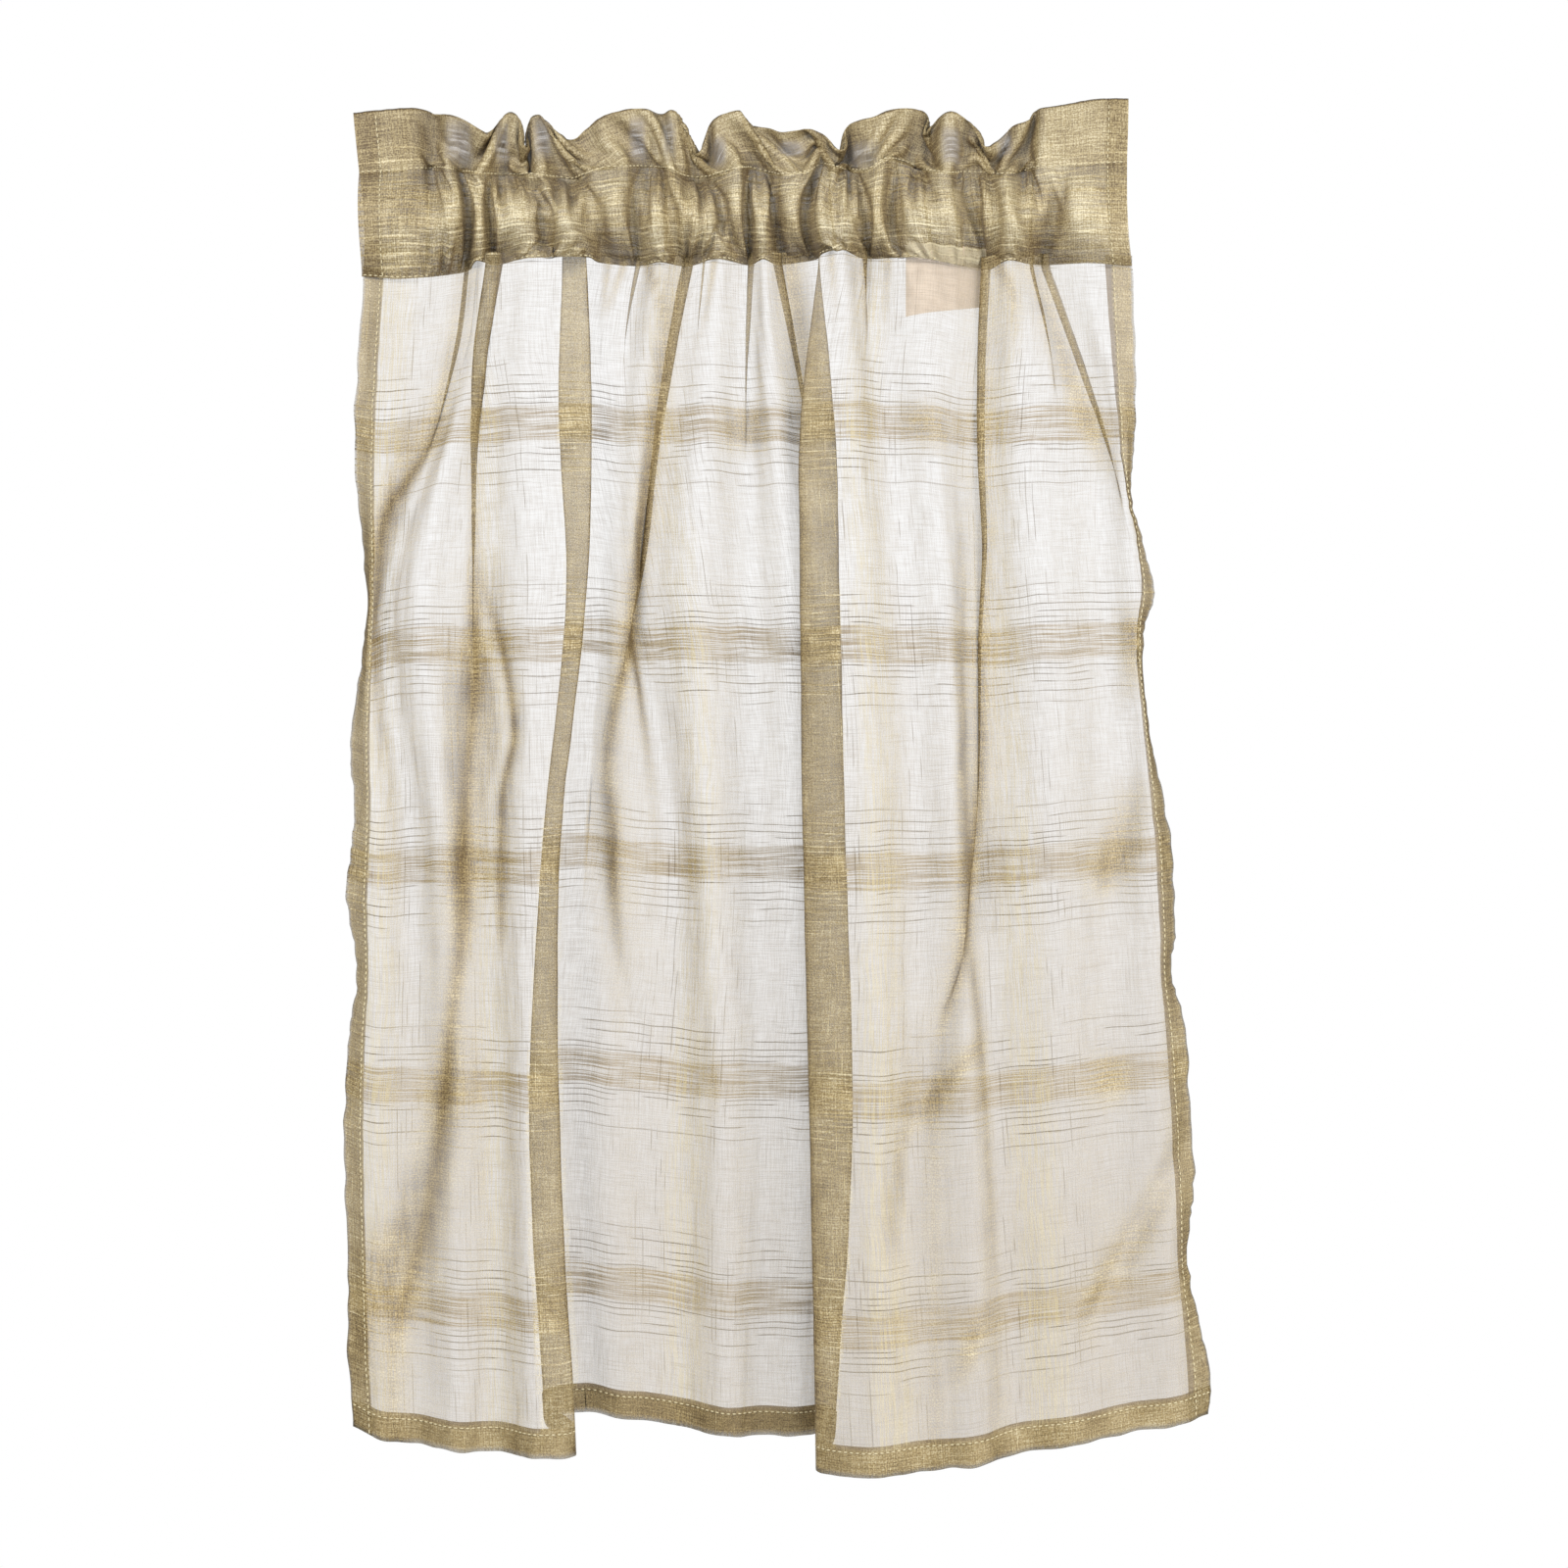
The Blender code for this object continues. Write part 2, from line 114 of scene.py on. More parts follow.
# Narrow pleats that the gathering pressed into the cloth below the seam:
# stretch, half width, side that lies in front, route as (x, height, how far it laps over)
PLEATS = (
    (LEFT_STRETCH, 3.4, 1, ((-184, -100, 3.0), (-192, -160, 3.0), (-201, -200, 1.6),
                            (-209, -226, 0.5), (-216, -242, 0.0))),
    (LEFT_STRETCH, 9.0, -1, ((-165, -100, 3.0), (-174, -160, 2.8), (-178, -210, 2.2),
                             (-179, -260, 1.7), (-179, -310, 1.3), (-179, -360, 0.9),
                             (-181, -410, 0.0))),
    (MIDDLE_STRETCH, 3.0, 1, ((-68, -98, 3.0), (-76, -140, 1.8), (-80, -190, 0.0),
                              (-88, -371, 0.0), (-105, -455, 0.0))),
    (MIDDLE_STRETCH, 5.4, -1, ((-35, -98, 3.0), (-47, -160, 2.9), (-58, -230, 2.4),
                               (-66, -300, 2.0), (-73, -340, 1.4), (-78, -370, 0.7),
                               (-84, -400, 0.0))),
    (MIDDLE_STRETCH, 3.0, 1, ((-24, -100, 2.4), (-28, -140, 1.4), (-30, -180, 0.0))),
    (MIDDLE_STRETCH, 3.4, 1, ((7, -98, 3.0), (4, -160, 2.2), (3, -240, 0.0))),
    (MIDDLE_STRETCH, 4.6, -1, ((24, -100, 3.0), (36, -160, 2.4), (45, -211, 1.6), (50, -250, 0.0))),
    (RIGHT_STRETCH, 3.6, 1, ((83, -98, 2.4), (84, -125, 1.2), (84, -160, 0.0))),
    (RIGHT_STRETCH, 5.0, -1, ((164, -104, 3.0), (161, -170, 2.8), (161, -234, 2.6),
                              (163, -290, 2.3), (160, -354, 1.9), (159, -430, 1.6),
                              (156, -490, 1.3), (151, -530, 1.1), (143, -579, 0.8),
                              (131, -609, 0.0))),
    (RIGHT_STRETCH, 3.2, 1, ((194, -104, 2.4), (203, -140, 1.8), (212, -200, 0.0))),
    (RIGHT_STRETCH, 4.4, 1, ((204, -104, 3.0), (219, -145, 2.9), (233, -185, 2.6),
                             (246, -225, 1.8), (258, -275, 0.0))),
)

# How far each pleat steps back at its side, at how large a lap it does so in full, and how far
# out that fades, in half widths
PLEAT_DEPTH = 1.6
FULL_LAP = 1.5
PLEAT_FADE = 2.2

# How many times as deep as in the tables the folds may be, so that each level line comes out as
# long as the flat cloth is wide, and how often that span is halved to find the depth
DROP_FULLNESS = (0.3, 1.6)
HEADING_FULLNESS = (0.0, 1.8)
HALVINGS = 11

# Where the cloth lies closer and looks golden beside its folds, with painted shade there: stretch,
# half width, route as (x, height, how dense)
SHADES = (
    (LEFT_STRETCH, 16, ((-234, -112, 0.1), (-236, -160, 0.14), (-240, -215, 0.0))),
    (LEFT_STRETCH, 5, ((-186, -104, 0.2), (-200, -190, 0.5), (-208, -222, 0.75),
                       (-222, -246, 0.85), (-233, -263, 0.85), (-243, -294, 0.7),
                       (-249, -335, 0.35), (-251, -360, 0.0))),
    (LEFT_STRETCH, 13, ((-188, -130, 0.1), (-206, -205, 0.3), (-226, -245, 0.4),
                        (-243, -290, 0.35), (-250, -350, 0.0))),
    (LEFT_STRETCH, 5.5, ((-178, -230, 0.2), (-178, -300, 0.5), (-178, -335, 0.8),
                         (-178, -378, 0.95), (-180, -410, 0.8), (-183, -455, 0.7),
                         (-184, -505, 0.95), (-184, -545, 0.7), (-192, -610, 0.6),
                         (-196, -654, 0.95), (-202, -691, 0.5), (-212, -743, 0.45),
                         (-224, -795, 0.6), (-230, -830, 0.1))),
    (LEFT_STRETCH, 12, ((-178, -350, 0.0), (-180, -380, 0.35), (-181, -410, 0.1),
                        (-184, -480, 0.2), (-184, -505, 0.45), (-186, -540, 0.2),
                        (-194, -630, 0.2), (-196, -654, 0.45), (-203, -690, 0.2),
                        (-220, -780, 0.35), (-228, -815, 0.1))),
    (LEFT_STRETCH, 22, ((-176, -290, 0.0), (-172, -380, 0.3), (-174, -480, 0.25),
                        (-190, -560, 0.2), (-194, -654, 0.35), (-212, -760, 0.3),
                        (-226, -850, 0.1))),
    (LEFT_STRETCH, 3.4, ((-172, -301, 0.0), (-168, -333, 0.5), (-160, -358, 0.7),
                         (-153, -389, 0.75), (-150, -418, 0.85), (-158, -455, 0.65),
                         (-160, -499, 0.6), (-160, -537, 0.45), (-161, -562, 0.0))),
    (LEFT_STRETCH, 12, ((-234, -730, 0.0), (-244, -775, 0.5), (-252, -815, 0.55),
                        (-258, -870, 0.3))),
    (MIDDLE_STRETCH, 5, ((-36, -100, 0.25), (-54, -181, 0.5), (-63, -254, 0.7), (-71, -325, 0.85),
                         (-75, -361, 0.95), (-84, -396, 0.7), (-90, -443, 0.5), (-86, -478, 0.55),
                         (-86, -510, 0.75), (-84, -540, 0.35), (-78, -600, 0.0))),
    (MIDDLE_STRETCH, 16, ((-52, -181, 0.2), (-76, -340, 0.35), (-90, -443, 0.35), (-86, -510, 0.3),
                          (-74, -620, 0.0))),
    (MIDDLE_STRETCH, 12, ((32, -104, 0.6), (40, -150, 0.65), (46, -205, 0.65), (52, -250, 0.25),
                          (52, -420, 0.25), (54, -600, 0.2), (56, -760, 0.2))),
    (MIDDLE_STRETCH, 16, ((0, -190, 0.0), (4, -214, 0.45), (4, -236, 0.0))),
    (MIDDLE_STRETCH, 2.5, ((-89, -100, 0.6), (-91, -120, 0.4), (-94, -150, 0.0))),
    (MIDDLE_STRETCH, 2.5, ((-78, -100, 0.6), (-84, -118, 0.4), (-91, -140, 0.0))),
    (MIDDLE_STRETCH, 2.5, ((-62, -104, 0.6), (-56, -125, 0.4), (-48, -160, 0.0))),
    (MIDDLE_STRETCH, 2.5, ((-17, -100, 0.6), (-21, -125, 0.4), (-28, -160, 0.0))),
    (MIDDLE_STRETCH, 4, ((-18, -622, 0.0), (-18, -650, 0.3), (-18, -678, 0.0))),
    (RIGHT_STRETCH, 5, ((41, -190, 0.0), (41, -260, 0.45), (41, -400, 0.4), (44, -600, 0.4),
                        (47, -760, 0.45), (52, -890, 0.4))),
    (RIGHT_STRETCH, 6, ((83, -98, 0.5), (84, -125, 0.3), (84, -145, 0.0))),
    (RIGHT_STRETCH, 4, ((162, -260, 0.2), (160, -354, 0.5), (160, -430, 0.6), (156, -490, 0.65),
                        (152, -519, 0.6), (143, -579, 0.5), (128, -625, 0.1))),
    (RIGHT_STRETCH, 13, ((164, -104, 0.25), (162, -230, 0.3), (163, -282, 0.3), (160, -430, 0.3),
                         (152, -519, 0.35), (143, -579, 0.3), (128, -625, 0.1))),
    (RIGHT_STRETCH, 11, ((196, -104, 0.45), (214, -160, 0.5), (238, -220, 0.5), (258, -262, 0.0))),
    (RIGHT_STRETCH, 5, ((170, -100, 0.5), (180, -122, 0.5), (182, -145, 0.3), (178, -175, 0.0))),
    (RIGHT_STRETCH, 2.5, ((60, -96, 0.5), (62, -120, 0.3), (64, -150, 0.0))),
    (RIGHT_STRETCH, 2.5, ((98, -100, 0.5), (97, -120, 0.3), (95, -150, 0.0))),
    (RIGHT_STRETCH, 16, ((118, -186, 0.0), (124, -212, 0.45), (130, -236, 0.0))),
    (RIGHT_STRETCH, 9, ((258, -325, 0.0), (262, -352, 0.6), (263, -372, 0.5), (260, -400, 0.0))),
    (RIGHT_STRETCH, 13, ((264, -436, 0.0), (256, -475, 0.4), (246, -508, 0.6), (240, -530, 0.0))),
    (RIGHT_STRETCH, 14, ((248, -622, 0.0), (246, -647, 0.45), (244, -670, 0.0))),
    (RIGHT_STRETCH, 9, ((112, -690, 0.0), (130, -655, 0.5), (150, -630, 0.45), (160, -612, 0.0))),
    (RIGHT_STRETCH, 14, ((300, -676, 0.0), (262, -750, 0.28), (240, -785, 0.25),
                         (226, -812, 0.0))),
    (RIGHT_STRETCH, 8, ((158, -790, 0.0), (151, -820, 0.45), (142, -850, 0.0))),
)

# How much closer the cloth looks towards its foot: height where that starts, how far down it
# is full, how dense it gets at the left edge, in the middle and at the right edge
LOWER_SHADE = (-300.0, 450.0, 0.32, 0.37, 0.45)

# Where each pleat gets its own mesh columns, in half widths from its middle: both its turns
# and both its ends. The S-shaped folds get theirs at these rows of FOLDS.
PLEAT_MARKS = (-1.6, -0.53, 0.0, 0.53, 1.6)
FOLD_MARKS = ((6, 7, 8), (17, 18, 19))
COLUMN_SPACING = 1.95
FEWEST_COLUMNS = 3

# How far the drop reaches up into the pocket behind the seam
SEAM_ALLOWANCE = (7.0, 3.5)

# Soft diagonal creases: stretch, route as (x, height) from top to bottom, depth, half width
CREASES = (
    (LEFT_STRETCH, ((-179, -380), (-184, -450), (-184, -540), (-193, -620), (-204, -700),
                    (-228, -790)), 8, 11),
    (LEFT_STRETCH, ((-168, -333), (-153, -389), (-150, -418), (-158, -455), (-160, -530)), 5, 6),
    (MIDDLE_STRETCH, ((-96, -480), (-88, -550), (-77, -605)), 6, 9),
    (RIGHT_STRETCH, ((262, -430), (258, -470), (250, -510)), 6, 10),
    (RIGHT_STRETCH, ((297, -686), (262, -750), (236, -800)), 7, 11),
    (RIGHT_STRETCH, ((160, -500), (140, -585), (118, -670), (106, -740)), 7, 12),
)
CREASE_FADE = 40.0

# How the two side hems stray from their fold lines, as (height, shift), and how far that reaches
LEFT_STRAY = (
    (-125, 1), (-185, -1), (-260, 0), (-300, 3), (-335, 5), (-370, 1), (-420, -4), (-470, 1),
    (-520, -3), (-580, 6), (-615, 2), (-680, -1), (-750, 0), (-840, -2), (-877, 0),
)
RIGHT_STRAY = (
    (-105, 0), (-165, 1), (-215, -1), (-255, -6), (-290, 0), (-325, 5), (-345, -2), (-415, -4),
    (-455, 1), (-500, 5), (-550, 2), (-580, -3), (-600, 1), (-660, 2), (-720, 0), (-765, -7),
    (-800, -4), (-845, 3), (-871, 0),
)
STRAY_REACH = 30.0

# Small waves of the side edges and of the foot: how far out, how long, and how much of them the
# last rows of the foot take
EDGE_WAVE = 1.6
EDGE_WAVE_LENGTH = 19.0
FOOT_WAVE = 1.3
FOOT_WAVE_LENGTH = 15.0
FOOT_WAVE_ROWS = (0.3, 0.7, 1.0)

# The gathers along the upper stitch, from the left end to the right end, as the camera sees
# them: name, x, depth, height
STITCH_FOLDS = (
    ("left end", -255, 0, -42), ("hem edge", -240, -2, -41), ("left flat", -227, -3, -40),
    ("flat end", -215, 0, -39), ("first hollow", -206, 8, -39), ("first crest", -196, -8, -39),
    ("crest slope", -186, 5, -41), ("first flop", -176, -8, -42), ("flag foot", -163, 8, -43),
    ("first flag", -155, 9, -43), ("slot", -149, 2, -43), ("second flag", -142, -9, -43),
    ("flag slope", -132, -7, -44), ("slope", -122, 7, -45), ("first dip", -113, 8, -46),
    ("rising", -104, -4, -43), ("wide slope", -93, -9, -39), ("wide crest", -78, -8, -38),
    ("crest crease", -64, 8, -38), ("crease edge", -56, 7, -38), ("sharp crest", -48, -9, -39),
    ("steep fall", -41, -2, -43), ("deep dip", -32, 9, -45), ("steep rise", -24, 4, -45),
    ("rounded crest", -13, -8, -42), ("crest end", -1, -10, -39), ("middle fold", 7, 8, -39),
    ("ledge foot", 17, 8, -41), ("low ledge", 28, -7, -43), ("ledge end", 42, -7, -42),
    ("ledge fall", 54, 8, -36), ("narrow dip", 63, -6, -38), ("straight rise", 72, 9, -40),
    ("full slope", 85, -8, -40), ("full crest", 96, -10, -33), ("crest top", 108, 5, -34),
    ("second slot", 118, 9, -38), ("cone side", 127, -4, -41), ("cone", 138, -11, -42),
    ("cone slope", 149, 5, -42), ("second flop", 160, 8, -42), ("low rise", 175, -7, -43),
    ("rise end", 189, 8, -41), ("end crest", 199, -7, -38), ("end hollow", 217, -5, -37),
    ("end flat", 237, -1, -36), ("right end", 258, -1, -35),
)

# The loops of the ruffle's top edge, as the camera sees them: x, depth, height
EDGE_FOLDS = (
    (-259, 0, -2), (-241, -2, 0), (-227, -5, 1), (-213, 0, 1), (-206, 8, -3), (-195, -12, -3),
    (-186, -14, -6), (-178, -13, -10), (-170, -4, -16), (-163, 8, -10), (-158, 11, -3),
    (-152, 2, -1), (-149, -8, -5), (-146.5, -9, -15), (-144, 0, -27), (-143, 9, -14),
    (-140.5, 10, -4), (-136, 0, -2), (-130, -9, -7), (-120, -4, -17), (-113, 6, -21),
    (-104, 8, -14), (-95, -3, -6), (-86, -9, -2), (-73, -12, 1), (-63, -8, 0), (-58, 6, -1),
    (-53, 8, -3), (-47, -8, 1), (-42, -11, -4), (-38.5, -4, -12), (-33, 6, -23), (-28, 10, -30),
    (-24.5, 6, -20), (-20, -2, -8), (-13, -9, -3), (-5, -12, 0), (0, -6, 0), (4, 6, -8),
    (8, 10, -11), (18, 2, -12), (27, -12, -15), (37, -16, -14), (46, -14, -13), (53, -4, -15),
    (58.5, 6, -20), (64, 10, -26), (68, 8, -27), (70, 0, -15), (73, -8, -9), (80, -12, -6),
    (88, -13, -5), (102, -16, 1), (114, -10, 1), (122, 2, 0), (125, 10, -8), (124.5, 12, -17),
    (128, 4, -11), (133.5, -6, -4), (139.5, -14, 0), (147, -12, -4), (153, -8, -10),
    (161, -12, -22), (165, -6, -25), (170, 4, -22), (176, 6, -17), (181.5, -2, -11), (190, -8, -7),
    (194, 0, -6), (196.5, 6, -1), (201, -4, 1), (219, -5, 4), (238, -2, 8), (259, 0, 8),
)

# A loop flops forward where its edge lies this far in front of its foot. Its middle then arches
# up, and elsewhere sags back.
FLOP_LEAN = 12.0
FLOP_ARCH = (0.0, -0.1, 0.7)
DIP_SAG = (0.0, 0.7, -0.25)

# How far the ruffle's two plies puff apart, and how much of that is left at its stitch
PUFF = 1.1
STITCHED_PUFF = 0.12

# Rows of FOLDS that start below the seam
TUCKED_ROWS = (7, 8, 18)

# The folds of the pocket's front wall half way down it, as the camera sees them: name, x, depth.
# How much of the stitches' folds the middle of the back wall takes.
WALL_HEIGHT = -71.0
BACK_WALL_FOLLOWS = 0.8
WALL_FOLDS = (
    ("left end", -256, 0), ("left flat", -240, -3), ("left bulge", -222, -6),
    ("bulge fall", -204, -3), ("left ridge", -191, -9), ("first valley", -182, 9),
    ("narrow pleat", -175, -5), ("second valley", -168, 8), ("broad bulge", -158, -8),
    ("bulge crest", -147, -10), ("bulge fall", -137, -3), ("flap valley", -130, 8),
    ("swag", -117, -9), ("swag end", -105, 3), ("flap end", -97, 8), ("soft fold", -84, -8),
    ("long crease", -70, 9), ("plain bulge", -58, -8), ("plain slope", -45, 1),
    ("slanting ridge", -31, -11), ("ridge fall", -20, -2), ("middle crease", -12, 9),
    ("small bulge", -4, -6), ("next crease", 5, 7), ("thin ridge", 14, -7),
    ("slanting crease", 22, 8), ("middle bulge", 33, -8), ("hollow", 43, 6),
    ("clear ridge", 52, -9), ("ridge slope", 60, -3), ("full bulge", 71, -9),
    ("full crease", 84, 8), ("thin bulge", 91, -6), ("curved crease", 100, 9),
    ("tag bulge", 114, -8), ("tag slope", 126, -6), ("tag crest", 139, -10),
    ("dark crease", 155, 10), ("right swell", 164, -5), ("right dip", 171, 0),
    ("right ridge", 179, -12), ("ridge slope", 194, 0), ("last crease", 209, 9),
    ("end bulge", 223, -8), ("end flat", 240, -5), ("right end", 258, 0),
)

# Slanting creases of the pocket's front wall: route as (x, height) from top to bottom, depth
# (a ridge is negative), half width
POCKET_CREASES = (
    (((-180, -38), (-191, -64), (-204, -90)), -5, 5),
    (((-133, -42), (-127, -60), (-118, -70)), -7, 4),
    (((-98, -42), (-104, -60), (-117, -70)), -7, 4),
    (((-134, -68), (-116, -80), (-98, -92)), -8, 4),
    (((-138, -52), (-135, -76), (-128, -96)), 6, 4),
    (((-45, -52), (-28, -74), (-6, -98)), -7, 5),
    (((-36, -60), (-18, -86)), 5, 5),
    (((18, -42), (22, -64), (28, -100)), 5, 3),
    (((51, -42), (52, -70)), -5, 4),
    (((101, -36), (98, -60), (108, -100)), 5, 3),
    (((143, -45), (152, -60), (161, -82), (166, -104)), 8, 3),
    (((177, -42), (179, -72), (197, -100)), -7, 5),
    (((217, -42), (210, -72), (203, -96)), 5, 4),
)
WALL_CREASE_FADE = 8.0

# Hollows of the front wall, between its gathers, which are also drawn dark with painted shade: x,
# height, half width, half height, depth
HOLLOWS = (
    (-142, -49, 14, 6, 8), (-113, -50, 10, 6, 8), (-129, -90, 5, 9, 7), (-94, -89, 6, 10, 8),
    (-50, -46, 7, 7, 6), (-29, -48, 14, 6, 7), (-4, -89, 6, 11, 7), (23, -86, 5, 12, 6),
    (44, -87, 7, 11, 7), (197, -93, 8, 11, 9), (-181, -92, 4, 12, 5), (120, -44, 9, 6, 6),
)

# How the gathered heading finds its folds: how fast its lengths come back along the threads and
# on the bias, how it resists bending at its stitches and between them, how it sways on, and how
# it is drawn to its first place
WARP_STIFFNESS = 1.0
BIAS_STIFFNESS = 0.3
BEND_STIFFNESS = (0.1, 0.3)
SWAY = 0.85
SPRING_PASSES = 5
WALL_PULL = 0.05
RUFFLE_PULL = 0.02
EDGE_PULL = 0.9
WALL_STEPS = 40
RUFFLE_STEPS = 40
GUESS_RIPPLE = 2.0
GUESS_RIPPLE_WIDTH = 12.0

# Crinkles all over the cloth: depth, width and length of one. Finer ones lie on them, by how
# much shallower, narrower and shorter, and the heading has less of both.
CRINKLE_DEPTH = 0.55
CRINKLE_WIDTH = 9.0
CRINKLE_LENGTH = 55.0
FINE_CRINKLE = (0.5, 2.1, 1.7)
HEADING_CRINKLE = 0.8

# How dense the cloth is drawn, from 0 to 1: the strips that run back behind themselves, and how
# much of that they lose at the foot, then the side hems and the bottom hem, the side hems within
# the heading, the heading, and the ruffle
RETURN_COVER = 0.62
RETURN_FADE = 0.5
HEM_COVER = 0.72
FOOT_COVER = 0.95
SIDE_COVER = 0.4
HEADING_COVER = 0.42
RUFFLE_COVER = 0.45

# How far inside the edges of such a strip the cloth in front of it starts to look golden
STRIP_INSET = 0.8

# How golden the shades beside the folds and the closer foot make the cloth, and how much painted
# shade the first lay on it
SHADE_GOLD = 2.0
FOOT_GOLD = 0.35
SHADE_DARK = 0.6

# How dark the cloth is drawn, from 0 to 1: painted shade on the bottom hem behind the two deep
# folds (place on the flat cloth, half width, how dark), the rims of the side hems, and in the
# heading the ruffle, the side hems, painted shade in the hollows, and painted shade on the flat
# left end (how dark, how far that reaches)
FOOT_PAINTED_SHADE = (320.0, 110.0, 0.5)
RIM_DARK = 0.5
RUFFLE_DARK = 0.1
SIDE_DARK = 0.3
HOLLOW_PAINTED_SHADE = 0.7
END_PAINTED_SHADE = (0.34, 62.0)

# Painted shade and light on the gathers of the heading: how much darker they are drawn for each
# millimetre that they lie deeper, paler where they stand forward, and the most of either
PAINTED_DEPTH_SHADING = 0.035
MOST_PAINTED_DEPTH_SHADING = 0.4

# Loops of the ruffle whose single ply shows, grey and striped: x, height, half width, half
# height. How much of their cover and of their golden look they lose.
SHEER_LOOPS = (
    (-189, -22, 8, 13), (-160, -20, 4, 13), (-133, -19, 5, 13), (-69, -20, 5, 13),
    (-48, -20, 4, 14), (83, -31, 8, 9), (140, -26, 6, 12), (176, -22, 5, 7), (-14, -28, 4, 9),
    (34, -26, 8, 4),
)
SHEER_LOOP_OPEN = 0.75
SHEER_LOOP_GREY = 0.9

# The share of light that the weave lets through straight on: it falls as the cloth turns away,
# down to this share of facing the eye
OPENNESS = 0.5
LEAST_FACING = 0.1

# Where the upright bands of the plaid are woven, from the left edge of the flat cloth
WARP_BANDS = (22.0, 115.0, 308.0, 525.0, 635.0)

# The plaid, in metres: where its first level band lies, how far apart those are, between which
# distances from its middle a level and an upright band fade, how far an upright one wanders,
# how far all threads do, and half the width of a thick upright thread
LEVEL_BAND_START = 0.109
LEVEL_BAND_REPEAT = 0.147
LEVEL_BAND_EDGE = (0.0105, 0.0130)
UPRIGHT_BAND_EDGE = (0.006, 0.024)
BAND_WANDER = 0.005
DRIFT = (0.003, 0.0036, 0.0)
UPRIGHT_LINE = 0.00030

# The thick threads beside a band: where the first lies, how many times further each next one
# lies, and how far they reach
LEVEL_LINES = (0.0135, 1.24, 0.046)
UPRIGHT_LINES = (0.0165, 1.17, 0.042)

# Between which shares of its half width such a thread fades, and between which shares of their
# first and their furthest distance the threads begin and end
LINE_FADE = (0.5, 1.6)
LINES_BEGIN = (0.9, 0.95)
LINES_END = (0.8, 1.0)

# How much of a place the yarns fill where they lie furthest apart, and half the width of a thick
# level thread, in metres: in a single ply and in the doubled heading
SINGLE_PLY = (0.05, 0.00034)
DOUBLED_PLY = (0.14, 0.0006)

# The spacing of the weave or the twist, in metres, and how solid the tag and the thread look
TAPE = (0.0012, 0.8)
THREAD = (0.0009, 1.0)

# The uneven yarns: spots for each metre across and down the cloth, a seed, the two levels of
# the noise between which a yarn comes up, and how strong it is at the first and at the second.
# The seed shifts the noise across the cloth, and down it by a share of that.
YARNS = {
    "warp": (1250.0, 60.0, 3.1, 0.40, 0.60, 0.0, 1.0),
    "weft": (60.0, 1250.0, 9.4, 0.40, 0.60, 0.0, 1.0),
    "streak": (18.0, 1300.0, 1.3, 0.40, 0.60, 0.0, 1.0),
    "warp slub": (1300.0, 26.0, 5.7, 0.60, 0.70, 0.0, 0.24),
    "weft slub": (26.0, 1300.0, 2.6, 0.60, 0.70, 0.0, 0.24),
    "cream": (1100.0, 34.0, 7.9, 0.44, 0.56, 0.1, 1.0),
    "level line": (22.0, 420.0, 4.4, 0.42, 0.50, 0.05, 1.0),
    "upright line": (420.0, 22.0, 8.3, 0.54, 0.62, 0.0, 0.7),
    "stripe": (16.0, 360.0, 6.6, 0.46, 0.54, 0.0, 0.8),
}
YARN_NOISE = {"Scale": 1.0, "Detail": 1.0, "Roughness": 0.6}
SEED_SLANT = 0.7

# The noises behind the weave, in spots for each metre: how the threads drift, where the bands
# are worn and the cloth is paler, and the flecks, with the levels between which these come up
DRIFT_NOISE = {"Scale": 26.0, "Detail": 1.0}
PATCH_NOISE = {"Scale": 40.0, "Detail": 4.0}
FLECK_NOISE = {"Scale": 900.0, "Detail": 0.0}
FLECK_LEVELS = (0.36, 0.64, 0.0, 1.0)
BAND_WEAR = (0.30, 0.60, 0.85, 1.0)

# How much of its gaps the cloth loses where its yarns lie: the thin ones, the streaks of a level
# band and all of such a band, the cream ones, and the thick threads, slubs and stripes
WARP_FILL = 0.12
WEFT_FILL = 0.11
BAND_FILL = (0.58, 0.10)
CREAM_FILL = 0.30
THICK_FILL = 0.58

# How far the weft, the warp, the flecks and the thick threads stand out, and the finish and the
# relief of the voile, in metres
WEAVE_SHARES = (0.20, 0.16, 0.28, 0.22)
WEAVE_RELIEF = {"Strength": 0.5, "Distance": 0.0006}
VOILE_FINISH = {"Roughness": 0.5, "Sheen Weight": 0.15, "Sheen Roughness": 0.4,
                "Specular IOR Level": 0.4}
GRAIN_RELIEF = {"Strength": 0.3, "Distance": 0.0003}

# How pale the golden cloth is: to start with, and more for its streaks and patches and less where
# it is crowded and where painted shade lies. How much of the cream a level band takes.
TONE_START = -0.15
TONE_SHARES = (0.10, 0.50, -0.42)
BAND_PALE = 0.15

# Kinds of node that are often added, and their usual settings
MATH = "ShaderNodeMath"
NOISE = "ShaderNodeTexNoise"
RANGE = "ShaderNodeMapRange"
FLAT_NOISE = {"noise_dimensions": "2D"}
SOFT_EDGE = {"interpolation_type": "SMOOTHSTEP"}

# The tag: where its sides lie, the heights of its lower corners, its mesh steps, how far it
# hangs behind the sheer and behind the pocket's wall, how many rows of the sheer it may hang
# behind, and how far up that wall it reaches
TAG_LEFT = 110.0
TAG_RIGHT = 164.0
TAG_LOW_LEFT = -139.0
TAG_LOW_RIGHT = -130.0
TAG_ROWS = 14
TAG_COLUMNS = 30
TAG_CLEARANCE = 2.1
TAG_WALL_CLEARANCE = 1.6
TAG_DROP_ROWS = 40
TAG_WALL_ROWS = (7, 6, 5, 4, 3, 2, 1)

# How the pocket's front wall is drawn over the tag, where painted light makes it paler in place of
# the lit tag behind it: how dense, how golden, and how dark, which is below 0 for paler
PAINTED_LIGHT_OVER_TAG = (0.5, 0.9, -1.5)

